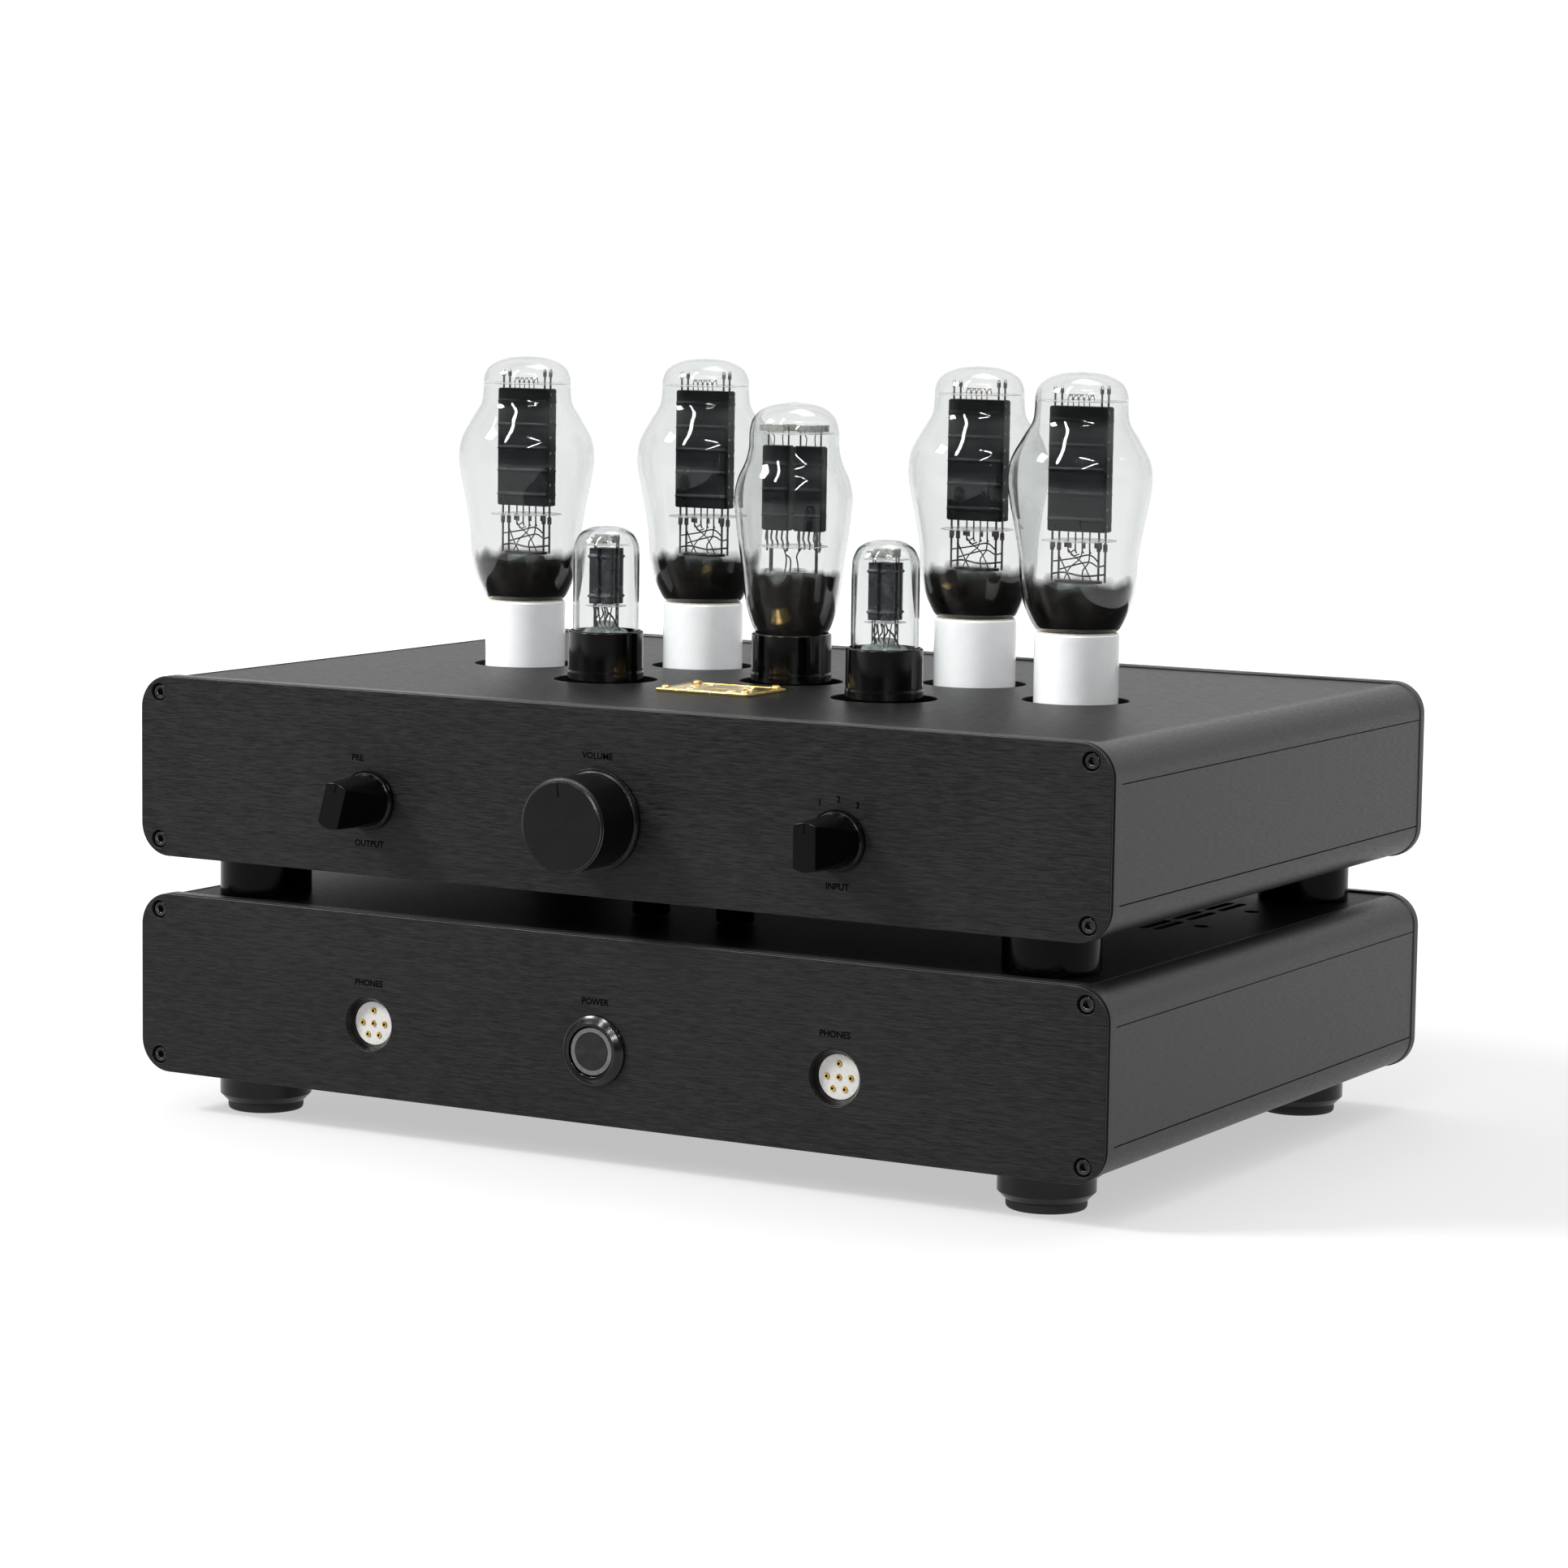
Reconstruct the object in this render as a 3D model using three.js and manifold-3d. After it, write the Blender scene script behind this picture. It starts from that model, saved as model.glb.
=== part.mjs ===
// Two-box tube amplifier: a power-supply chassis below, a tube chassis on spacers above it,
// four coke-bottle power tubes, one rectifier, two octal driver tubes, three knobs, a push
// button and two six-contact headphone sockets.
// Millimetres, +Z up, front towards -Y. The origin is under the middle of the whole part,
// on the surface that the feet stand on.

import * as THREE from 'three';
import { mergeVertices } from 'three/addons/utils/BufferGeometryUtils.js';
import Module from 'manifold-3d';

const wasm = await Module();
wasm.setup();

// ---------------------------------------------------------------- driving dimensions

const GAP = 0.3;                     // clearance between neighbouring pieces

const CHASSIS_WIDTH = 460;
const CHASSIS_DEPTH = 315;           // front face to rear face
const CHASSIS_HEIGHT = 77.4;
const CHASSIS_SPACING = 16.2;        // air gap between the two chassis
const CORNER_RADIUS = 14;
const FRONT_THICKNESS = 8.5;
const REAR_THICKNESS = 5;
const SHEET = 3;                     // top, bottom and side plates
const COVER_INSET = 1.1;             // covers lie this far inside the panel outline
const SIDE_INSET = 0.4;
const RAIL_WIDTH = 12.5;             // seam between cover and rail, from the chassis side
const UPPER_SEAM = 16;               // side seams, below the top and above the bottom
const LOWER_SEAM = 14.2;

const SCREW_INSET_X = 9.3;
const SCREW_INSET_Z = 7.1;
const COUNTERBORE_RADIUS = 4.1;
const COUNTERBORE_DEPTH = 5;

const FOOT_HEIGHT = 17.8;
const FOOT_RADIUS = 19.7;
const FOOT_INSET_X = 41;
const FOOT_INSET_Y = 34;

const KNOB_PROJECTION = 27.3;
const JACK_PROJECTION = 10.3;
const CONTROL_Z = 31.7;              // knob centres above the bottom of the upper chassis
const SELECTOR_X = 111.5;
const SOCKET_Z = 30.7;               // socket and button centres above the lower chassis
const SHAFT_RADIUS = 3;
const SHAFT_BORE = 3.15;

const TUBE_HOLE_RADIUS = 22.5;
const TUBE_PITCH = 68.4;
const INNER_TUBE_OFFSET = 40;        // inner power tubes behind the middle of the chassis
const DRIVER_TUBE_OFFSET = -42;      // driver tubes in front of it

// ---------------------------------------------------------------- derived places

const HALF_WIDTH = CHASSIS_WIDTH / 2;
const FRONT_Y = -(CHASSIS_DEPTH + JACK_PROJECTION - KNOB_PROJECTION) / 2;
const REAR_Y = FRONT_Y + CHASSIS_DEPTH;
const MIDDLE_Y = (FRONT_Y + REAR_Y) / 2;
const INSIDE_FRONT = FRONT_Y + FRONT_THICKNESS + GAP;
const INSIDE_REAR = REAR_Y - REAR_THICKNESS - GAP;
const LOWER_Z = FOOT_HEIGHT;
const UPPER_Z = LOWER_Z + CHASSIS_HEIGHT + CHASSIS_SPACING;
const DECK_Z = UPPER_Z + CHASSIS_HEIGHT - COVER_INSET;
const LOWER_DECK_Z = LOWER_Z + CHASSIS_HEIGHT - COVER_INSET;

// ---------------------------------------------------------------- finishes

const finish = (color, roughness, metalness, extra = {}) =>
  new THREE.MeshStandardMaterial({ color, roughness, metalness, ...extra });

const FINISH = {
  frontPanel: finish(0x2c2c2d, 0.45, 0.7),
  cover: finish(0x4a4a4b, 0.35, 0.8),
  sides: finish(0x565657, 0.5, 0.7),
  blackAluminium: finish(0x1b1b1c, 0.4, 0.7),
  knob: finish(0x242425, 0.38, 0.8),
  foot: finish(0x1f1f20, 0.5, 0.5),
  ceramic: finish(0xeceef0, 0.15, 0),
  bakelite: finish(0x0c0c0d, 0.2, 0),
  glass: finish(0xe8edf0, 0.03, 0, { transparent: true, opacity: 0.3 }),
  button: finish(0x303031, 0.35, 0.9),
  brass: finish(0xb79a56, 0.3, 1),
  contacts: finish(0xe4e2e0, 0.4, 0),
  jacks: finish(0xb8a060, 0.3, 0.9),
  plastic: finish(0x141415, 0.5, 0),
  steel: finish(0x8e9092, 0.4, 0.9),
  board: finish(0x1f4a2e, 0.5, 0),
  copper: finish(0x7a4a26, 0.4, 0.6),
};

// ---------------------------------------------------------------- geometry helpers

// A closed three.js geometry as a solid: corners merged, collapsed faces dropped.
function solid(geometry) {
  const bare = geometry.clone();
  bare.deleteAttribute('normal');
  bare.deleteAttribute('uv');
  const merged = mergeVertices(bare, 1e-4);
  const index = merged.index.array;
  const triVerts = [];
  for (let i = 0; i < index.length; i += 3) {
    const [a, b, c] = [index[i], index[i + 1], index[i + 2]];
    if (a !== b && b !== c && c !== a) triVerts.push(a, b, c);
  }
  return new wasm.Manifold(new wasm.Mesh({
    numProp: 3,
    vertProperties: new Float32Array(merged.attributes.position.array),
    triVerts: Uint32Array.from(triVerts),
  }));
}

function toGeometry(body) {
  const mesh = body.getMesh();
  const geometry = new THREE.BufferGeometry();
  geometry.setAttribute('position', new THREE.BufferAttribute(mesh.vertProperties, 3));
  geometry.setIndex(new THREE.BufferAttribute(mesh.triVerts, 1));
  geometry.computeVertexNormals();
  return geometry;
}

const join = (first, ...others) => others.reduce((sum, next) => sum.add(next), first);
const cut = (first, ...others) => others.reduce((rest, next) => rest.subtract(next), first);

function arc(cx, cy, radius, from, to, steps) {
  const points = [];
  for (let i = 0; i <= steps; i += 1) {
    const angle = THREE.MathUtils.degToRad(from + ((to - from) * i) / steps);
    points.push(new THREE.Vector2(cx + radius * Math.cos(angle), cy + radius * Math.sin(angle)));
  }
  return points;
}

const circle = (cx, cy, radius, steps) => arc(cx, cy, radius, 0, 360, steps).slice(0, -1);

function roundedRectangle(width, height, radius, steps, cx = 0, cy = 0) {
  const [x, y] = [width / 2 - radius, height / 2 - radius];
  return [
    ...arc(cx + x, cy + y, radius, 0, 90, steps),
    ...arc(cx - x, cy + y, radius, 90, 180, steps),
    ...arc(cx - x, cy - y, radius, 180, 270, steps),
    ...arc(cx + x, cy - y, radius, 270, 360, steps),
  ];
}

// An outline with holes, drawn in X and Y and raised from low to high along Z.
function raised(outline, low, high, holes = []) {
  const shape = new THREE.Shape(outline);
  shape.holes = holes.map((hole) => new THREE.Path(hole));
  const geometry = new THREE.ExtrudeGeometry(shape, { depth: high - low, bevelEnabled: false });
  return geometry.translate(0, 0, low);
}

// The same, drawn in X and Z and running from front to back along Y.
function upright(outline, front, back, holes = []) {
  return raised(outline, 0, back - front, holes).rotateX(Math.PI / 2).translate(0, back, 0);
}

// A turned shape about Z: each profile entry is [radius, height], outside going up.
function turned(profile, steps) {
  const points = profile.map(([radius, height]) => new THREE.Vector2(radius, height));
  return new THREE.LatheGeometry(points, steps).rotateX(Math.PI / 2);
}

// A turned shape about Y, whose profile heights are distances in front of y = 0.
const turnedForward = (profile, steps) => turned(profile, steps).rotateX(Math.PI / 2);

const block = (width, depth, height, x, y, z) =>
  new THREE.BoxGeometry(width, depth, height).translate(x, y, z);

const cylinder = (radius, low, high, steps, x = 0, y = 0) =>
  turned([[0, low], [radius, low], [radius, high], [0, high]], steps).translate(x, y, 0);

const forwardCylinder = (radius, back, front, steps, x = 0, z = 0) =>
  turnedForward([[0, back], [radius, back], [radius, front], [0, front]], steps)
    .translate(x, 0, z);

function piece(name, body, material, position = [0, 0, 0]) {
  const mesh = new THREE.Mesh(toGeometry(body), material);
  mesh.name = name;
  mesh.position.set(...position);
  return mesh;
}

function gather(...members) {
  const group = new THREE.Group();
  group.add(...members);
  return group;
}

// ---------------------------------------------------------------- chassis

const CORNER_STEPS = 6;
const SCREW_STEPS = 14;

const panelOutline = () =>
  roundedRectangle(CHASSIS_WIDTH, CHASSIS_HEIGHT, CORNER_RADIUS, CORNER_STEPS, 0, CHASSIS_HEIGHT / 2);

// The front panel, its four counterbores for the fixing screws and its control holes.
function frontPanel(name, holes) {
  const panel = solid(upright(panelOutline(), 0, FRONT_THICKNESS, holes));
  const screwX = HALF_WIDTH - SCREW_INSET_X;
  const corners = [-screwX, screwX].flatMap((x) =>
    [SCREW_INSET_Z, CHASSIS_HEIGHT - SCREW_INSET_Z].map((z) =>
      solid(forwardCylinder(COUNTERBORE_RADIUS, -COUNTERBORE_DEPTH, 1, SCREW_STEPS, x, z))));
  return piece(name, cut(panel, ...corners), FINISH.frontPanel, [0, FRONT_Y, 0]);
}

function rearPanel(name, holes) {
  const panel = solid(upright(panelOutline(), 0, REAR_THICKNESS, holes));
  return piece(name, panel, FINISH.sides, [0, REAR_Y - REAR_THICKNESS, 0]);
}

const coverOutline = () => {
  const x = HALF_WIDTH - RAIL_WIDTH;
  return [[-x, INSIDE_FRONT], [x, INSIDE_FRONT], [x, INSIDE_REAR], [-x, INSIDE_REAR]]
    .map(([px, py]) => new THREE.Vector2(px, py));
};

const cover = (name, low, holes) =>
  piece(name, solid(raised(coverOutline(), low, low + SHEET, holes)), FINISH.cover);

// Section of the rail along the top right edge, with a ledge for the cover, a flange behind
// the side plate and a solid corner that takes the panel screws. Heights are below the top.
function railSection(seam) {
  const flangeX = HALF_WIDTH - SIDE_INSET - SHEET - GAP;
  const flangeReach = 5;
  const flangeThickness = 2.2;
  const bossX = 18;
  const bossDepth = 12;
  const seamX = HALF_WIDTH - RAIL_WIDTH + GAP;
  const ledge = SHEET + COVER_INSET + GAP;
  const inset = COVER_INSET - GAP;
  const radius = CORNER_RADIUS - 1;
  const centreX = HALF_WIDTH - SIDE_INSET - radius;
  const seamAngle = THREE.MathUtils.radToDeg(Math.acos((seamX - centreX) / radius));
  return [
    new THREE.Vector2(HALF_WIDTH - SIDE_INSET, -seam),
    ...arc(centreX, -inset - radius, radius, 0, seamAngle, CORNER_STEPS),
    new THREE.Vector2(seamX, -ledge),
    new THREE.Vector2(HALF_WIDTH - bossX, -ledge),
    new THREE.Vector2(HALF_WIDTH - bossX, -bossDepth),
    new THREE.Vector2(flangeX - flangeThickness, -bossDepth),
    new THREE.Vector2(flangeX - flangeThickness, -seam - flangeReach),
    new THREE.Vector2(flangeX, -seam - flangeReach),
    new THREE.Vector2(flangeX, -seam),
  ];
}

function rail(name, side, top) {
  const seam = top ? UPPER_SEAM : LOWER_SEAM;
  const outline = railSection(seam).map((point) =>
    new THREE.Vector2(side * point.x, top ? CHASSIS_HEIGHT + point.y : -point.y));
  return piece(name, solid(upright(outline, INSIDE_FRONT, INSIDE_REAR)), FINISH.sides);
}

function sidePlate(name, side) {
  const height = CHASSIS_HEIGHT - UPPER_SEAM - LOWER_SEAM - 2 * GAP;
  const depth = INSIDE_REAR - INSIDE_FRONT;
  const x = side * (HALF_WIDTH - SIDE_INSET - SHEET / 2);
  const plate = block(SHEET, depth, height, x, (INSIDE_FRONT + INSIDE_REAR) / 2,
    LOWER_SEAM + GAP + height / 2);
  return piece(name, solid(plate), FINISH.sides);
}

function chassis(prefix, z, frontHoles, rearHoles, topHoles, bottomHoles) {
  const group = gather(
    frontPanel(`${prefix}_front_panel`, frontHoles),
    rearPanel(`${prefix}_rear_panel`, rearHoles),
    cover(`${prefix}_top_plate`, CHASSIS_HEIGHT - COVER_INSET - SHEET, topHoles),
    cover(`${prefix}_bottom_plate`, COVER_INSET, bottomHoles),
  );
  for (const [sideName, side] of [['left', -1], ['right', 1]]) {
    group.add(
      sidePlate(`${prefix}_side_plate_${sideName}`, side),
      rail(`${prefix}_rail_top_${sideName}`, side, true),
      rail(`${prefix}_rail_bottom_${sideName}`, side, false),
    );
  }
  group.position.z = z;
  return group;
}

// ---------------------------------------------------------------- holes and their places

const BUTTON_HOLE_RADIUS = 12.3;
const PHONE_HOLE_RADIUS = 11.8;
const BUSHING_HOLE_RADIUS = 5.1;
const HARNESS_RADIUS = 5;
const HARNESS_X = 20.5;
const HARNESS_Y = FRONT_Y + 77;

const INLET_X = 150;
const INLET_Z = 38;                  // above the bottom of the lower chassis
const INLET_BODY = [30.6, 24.6];
const JACK_X = -95;
const JACK_Z = 38;                   // above the bottom of the upper chassis
const JACK_WINDOW = [128, 32];

const harnessHoles = () =>
  [-HARNESS_X, HARNESS_X].map((x) => circle(x, HARNESS_Y, HARNESS_RADIUS, 12));

// Two mirrored fields of long slots over the power supply, and round holes beside them.
function ventHoles() {
  const slotLength = 26;
  const slotWidth = 3.4;
  const slotPitch = 32.2;
  const rowPitch = 6;
  const outerRow = 175.5;
  const firstSlot = FRONT_Y + 171.5;
  const holeX = 187.8;
  const holeRadius = 3.2;
  const holes = [];
  for (const side of [-1, 1]) {
    for (let row = 0; row < 3; row += 1) {
      for (let slot = 0; slot < 3; slot += 1) {
        const x = side * (outerRow - row * rowPitch);
        const y = firstSlot + slot * slotPitch;
        holes.push(roundedRectangle(slotWidth, slotLength, slotWidth / 3, 1, x, y));
      }
    }
    for (const y of [FRONT_Y + 177.2, FRONT_Y + 229]) {
      holes.push(circle(side * holeX, y, holeRadius, 10));
    }
  }
  return holes;
}

const TUBES = [
  { name: 'power_tube_1', kind: 'power', x: -2 * TUBE_PITCH, offset: 0 },
  { name: 'power_tube_2', kind: 'power', x: -TUBE_PITCH, offset: INNER_TUBE_OFFSET },
  { name: 'power_tube_3', kind: 'power', x: TUBE_PITCH, offset: INNER_TUBE_OFFSET },
  { name: 'power_tube_4', kind: 'power', x: 2 * TUBE_PITCH, offset: 0 },
  { name: 'rectifier_tube', kind: 'rectifier', x: 0, offset: 0 },
  { name: 'driver_tube_left', kind: 'driver', x: -TUBE_PITCH, offset: DRIVER_TUBE_OFFSET },
  { name: 'driver_tube_right', kind: 'driver', x: TUBE_PITCH, offset: DRIVER_TUBE_OFFSET },
];

const tubeHoles = () =>
  TUBES.map((tube) => circle(tube.x, MIDDLE_Y + tube.offset, TUBE_HOLE_RADIUS, 24));

const lowerChassis = chassis('lower', LOWER_Z,
  [
    circle(-SELECTOR_X, SOCKET_Z, PHONE_HOLE_RADIUS, 24),
    circle(SELECTOR_X, SOCKET_Z, PHONE_HOLE_RADIUS, 24),
    circle(0, SOCKET_Z, BUTTON_HOLE_RADIUS, 24),
  ],
  [roundedRectangle(INLET_BODY[0], INLET_BODY[1], GAP, 1, INLET_X, INLET_Z)],
  [...ventHoles(), ...harnessHoles()],
  [],
);

const upperChassis = chassis('upper', UPPER_Z,
  [-SELECTOR_X, 0, SELECTOR_X].map((x) => circle(x, CONTROL_Z, BUSHING_HOLE_RADIUS, 14)),
  [roundedRectangle(JACK_WINDOW[0], JACK_WINDOW[1], 2, 2, JACK_X, JACK_Z)],
  tubeHoles(),
  harnessHoles(),
);

// ---------------------------------------------------------------- feet and spacers

const CORNERS = [
  ['front_left', -1, FRONT_Y + FOOT_INSET_Y],
  ['front_right', 1, FRONT_Y + FOOT_INSET_Y],
  ['rear_left', -1, REAR_Y - FOOT_INSET_Y],
  ['rear_right', 1, REAR_Y - FOOT_INSET_Y],
];

// Body with a 45 degree chamfer down to a rounded rubber pad.
function foot() {
  const padRadius = 16.4;
  const padHeight = 4;
  const chamferTop = padHeight + FOOT_RADIUS - padRadius;
  const top = LOWER_Z + COVER_INSET - GAP;
  const rounding = arc(padRadius - padHeight, padHeight, padHeight, -90, 0, 3);
  return solid(turned([
    [0, 0],
    ...rounding.map((point) => [point.x, point.y]),
    [FOOT_RADIUS, chamferTop],
    [FOOT_RADIUS, top],
    [0, top],
  ], 24));
}

const spacer = () =>
  solid(cylinder(FOOT_RADIUS, LOWER_DECK_Z + GAP, UPPER_Z + COVER_INSET - GAP, 24));

const supports = gather(...CORNERS.flatMap(([corner, side, y]) => {
  const place = [side * (HALF_WIDTH - FOOT_INSET_X), y, 0];
  return [
    piece(`foot_${corner}`, foot(), FINISH.foot, place),
    piece(`spacer_${corner}`, spacer(), FINISH.blackAluminium, place),
  ];
}));

// Bushes that carry the wiring harness across the air gap between the two chassis.
function harnessBush(name, x) {
  const radius = 8;
  const low = LOWER_DECK_Z + GAP;
  const high = UPPER_Z + COVER_INSET - GAP;
  const bush = turned([
    [HARNESS_RADIUS, low],
    [radius, low],
    [radius, high],
    [HARNESS_RADIUS, high],
    [HARNESS_RADIUS, low],
  ], 16);
  return piece(name, solid(bush), FINISH.blackAluminium, [x, HARNESS_Y, 0]);
}

const bushes = gather(
  harnessBush('harness_bush_left', -HARNESS_X),
  harnessBush('harness_bush_right', HARNESS_X),
);

// ---------------------------------------------------------------- tubes

// Heights are above the deck. base: radius, bottom and top. glass: outer profile from the
// mouth in the base to the crown. hollow: the same for its inside. pins: circle radius, pin
// radius, length, count. key: radius of the locating key.
const TUBE_KINDS = {
  power: {
    base: { radius: 17.8, bottom: -7.7, top: 28.3, finish: FINISH.ceramic },
    glass: [[15.8, 26], [16.1, 28.7], [18.6, 31.6], [22.5, 40], [24.3, 50], [27.2, 72.5], [30.2, 91],
      [28.2, 102], [20.4, 116], [19.2, 127], [13.5, 134.2], [0, 136.8]],
    hollow: [[14.4, 26], [14.8, 29.4], [20.8, 40], [25.7, 72.5], [28.7, 91], [26.8, 101.5], [18.8, 116],
      [17.4, 126.5], [0, 134.6]],
    pins: { circle: 8.2, radius: 1.9, length: 13, count: 4 },
    key: 0,
  },
  rectifier: {
    base: { radius: 17.3, bottom: -3, top: 20.9, finish: FINISH.bakelite },
    glass: [[15.2, 18.6], [15.5, 21.3], [17.4, 24.7], [20.6, 36], [25.6, 80], [24.2, 87],
      [19.9, 98.5], [19.2, 110], [12.5, 118], [0, 120.4]],
    hollow: [[13.8, 18.6], [14.2, 22.3], [19, 36], [24.1, 80], [22.6, 87], [18.3, 98.5], [17.5, 109.5],
      [0, 118]],
    pins: { circle: 8.7, radius: 1.2, length: 11, count: 8 },
    key: 3.9,
  },
  driver: {
    base: { radius: 16.4, bottom: -3, top: 20.9, finish: FINISH.bakelite },
    glass: [[14.2, 18.6], [14.4, 56], [13.2, 61.5], [8.4, 65.2], [0, 66.2]],
    hollow: [[12.8, 18.6], [13, 56], [11.8, 60.5], [0, 64.4]],
    pins: { circle: 8.7, radius: 1.2, length: 11, count: 8 },
    key: 3.9,
  },
};

const CUP_DEPTH = 3;
const BASE_STEPS = 20;
const GLASS_STEPS = 20;
const PIN_STEPS = 4;
const KEY_STEPS = 6;

// Pin places around the tube's axis; a four-pin base has them at the corners of a square.
function pinPlaces(kind) {
  const { circle: radius, count } = kind.pins;
  return circle(0, 0, radius, count).map((point) => {
    const turn = point.clone().rotateAround(new THREE.Vector2(), Math.PI / count);
    return [turn.x, turn.y];
  });
}

// The base is a cup that holds the mouth of the glass, with its pins and locating key.
function tubeBase(kind) {
  const { radius, bottom, top } = kind.base;
  const edge = 0.8;
  const wall = 1;
  const pinFoot = bottom - kind.pins.length;
  const keyLead = 1;
  const cup = solid(turned([
    [0, bottom],
    [radius - edge, bottom],
    [radius, bottom + edge],
    [radius, top - edge / 2],
    [radius - edge / 2, top],
    [radius - wall, top],
    [radius - wall, top - CUP_DEPTH],
    [0, top - CUP_DEPTH],
  ], BASE_STEPS));
  const pins = pinPlaces(kind).map(([x, y]) =>
    solid(cylinder(kind.pins.radius, pinFoot, bottom + edge, PIN_STEPS, x, y)));
  if (kind.key) {
    pins.push(solid(cylinder(kind.key, pinFoot - keyLead, bottom + edge, KEY_STEPS)));
  }
  return join(cup, ...pins);
}

// The envelope is a thin shell, open where it stands in the base.
function tubeGlass(kind) {
  const [mouthRadius, mouth] = kind.hollow[0];
  const shell = solid(turned([[0, mouth], ...kind.glass], GLASS_STEPS));
  const hollow = turned([[0, mouth - 1], [mouthRadius, mouth - 1], ...kind.hollow], GLASS_STEPS / 2);
  return shell.subtract(solid(hollow));
}

const tubes = gather(...TUBES.flatMap((tube) => {
  const kind = TUBE_KINDS[tube.kind];
  const place = [tube.x, MIDDLE_Y + tube.offset, DECK_Z];
  return [
    piece(`${tube.name}_base`, tubeBase(kind), kind.base.finish, place),
    piece(`${tube.name}_glass`, tubeGlass(kind), FINISH.glass, place),
  ];
}));

// ---------------------------------------------------------------- amplifier board

const PILLAR_RADIUS = 4;
const PILLAR_INSET = 8;              // pillar centres from the edges of a circuit board
const BOARD_THICKNESS = 2;

// Four pillars below the corners of a board whose middle is at x = 0, y = 0.
const boardPillars = (width, depth, low, high) =>
  [-1, 1].flatMap((sideX) => [-1, 1].map((sideY) =>
    solid(cylinder(PILLAR_RADIUS, low, high, 8,
      sideX * (width / 2 - PILLAR_INSET), sideY * (depth / 2 - PILLAR_INSET)))));

// Circuit board under the deck with a socket soldered below each tube, on four pillars.
// Heights are below the deck.
function amplifierBoard() {
  const [width, depth] = [330, 140];
  const boardTop = -22;
  const inBoard = boardTop - BOARD_THICKNESS / 2;
  const socketRadius = 18;
  const holeClearance = 0.35;
  const pinRoom = 1;
  const floor = UPPER_Z + COVER_INSET + SHEET + GAP - DECK_Z;
  let board = join(
    solid(block(width, depth, BOARD_THICKNESS, 0, 0, inBoard)),
    ...boardPillars(width, depth, floor, inBoard),
  );
  for (const tube of TUBES) {
    const kind = TUBE_KINDS[tube.kind];
    const [x, y] = [tube.x, tube.offset];
    const seat = kind.base.bottom - GAP;
    const pinEnd = seat - kind.pins.length - pinRoom;
    board = board.add(solid(cylinder(socketRadius, inBoard, seat, 12, x, y)));
    for (const [px, py] of pinPlaces(kind)) {
      const radius = kind.pins.radius + holeClearance;
      const hole = cylinder(radius, pinEnd, seat + 1, PIN_STEPS, x + px, y + py);
      board = board.subtract(solid(hole));
    }
    if (kind.key) {
      const keyway = cylinder(kind.key + holeClearance, pinEnd - pinRoom, seat + 1, KEY_STEPS, x, y);
      board = board.subtract(solid(keyway));
    }
  }
  return piece('amplifier_board', board, FINISH.board, [0, MIDDLE_Y, DECK_Z]);
}

// ---------------------------------------------------------------- controls

const KNOB_STEPS = 24;
const KNOB_RECESS = 8;               // depth to which the back of a knob is hollow
const SHAFT_REACH = 20;
const SKIRT_EDGE = 1.9;              // top of the skirt's rim
const SKIRT_TOP = 2.6;               // where the skirt meets the knob's body
const POINTER_WIDTH = 0.8;
const POINTER_DEPTH = 0.4;

// A knob and the shaft it is fixed on, turned about the shaft. Heights are in front of the panel.
function knobBody(skirtRadius, bodyRadius, faceRadius, recessRadius) {
  const bevel = bodyRadius - faceRadius;
  return solid(turnedForward([
    [0, -SHAFT_REACH],
    [SHAFT_RADIUS, -SHAFT_REACH],
    [SHAFT_RADIUS, KNOB_RECESS],
    [recessRadius, KNOB_RECESS],
    [recessRadius, GAP],
    [skirtRadius, GAP],
    [skirtRadius, SKIRT_EDGE],
    [bodyRadius, SKIRT_TOP],
    [bodyRadius, KNOB_PROJECTION - bevel],
    [faceRadius, KNOB_PROJECTION],
    [0, KNOB_PROJECTION],
  ], KNOB_STEPS));
}

// Short line engraved in the knob's face, from the rim towards the middle.
const pointer = (rim, length) =>
  solid(block(POINTER_WIDTH, 2 * POINTER_DEPTH, length, 0, -KNOB_PROJECTION, rim - length / 2));

// The pointer stands a little left of the top, where the volume is set.
function volumeKnob() {
  const angle = -6;
  const body = cut(knobBody(21.1, 19.3, 17.9, 9), pointer(17, 5.4));
  const mesh = piece('volume_knob', body, FINISH.knob, [0, FRONT_Y, UPPER_Z + CONTROL_Z]);
  mesh.rotation.y = THREE.MathUtils.degToRad(angle);
  return mesh;
}

// Two sloping flats leave a bar across the face of a selector knob, and stop above its skirt.
function selectorKnob(name, x, angle) {
  const barHalfWidth = 5.1;
  const slope = THREE.MathUtils.degToRad(11);
  const flatsEnd = 3.4;
  const reach = 40;
  const flats = [-1, 1].map((side) => {
    const cutter = block(reach / 2, reach, reach, (side * reach) / 4, 0, 0);
    cutter.translate(0, -reach / 2, 0).rotateZ(side * slope);
    return solid(cutter.translate(side * barHalfWidth, reach / 2 - KNOB_PROJECTION, 0));
  });
  const kept = solid(forwardCylinder(reach, 0, flatsEnd, 8));
  const blank = knobBody(12.5, 11, 10.3, 6.8);
  const body = cut(blank, cut(join(...flats), kept), pointer(9.6, 4));
  const mesh = piece(name, body, FINISH.knob, [x, FRONT_Y, UPPER_Z + CONTROL_Z]);
  mesh.rotation.y = THREE.MathUtils.degToRad(angle);
  return mesh;
}

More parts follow.
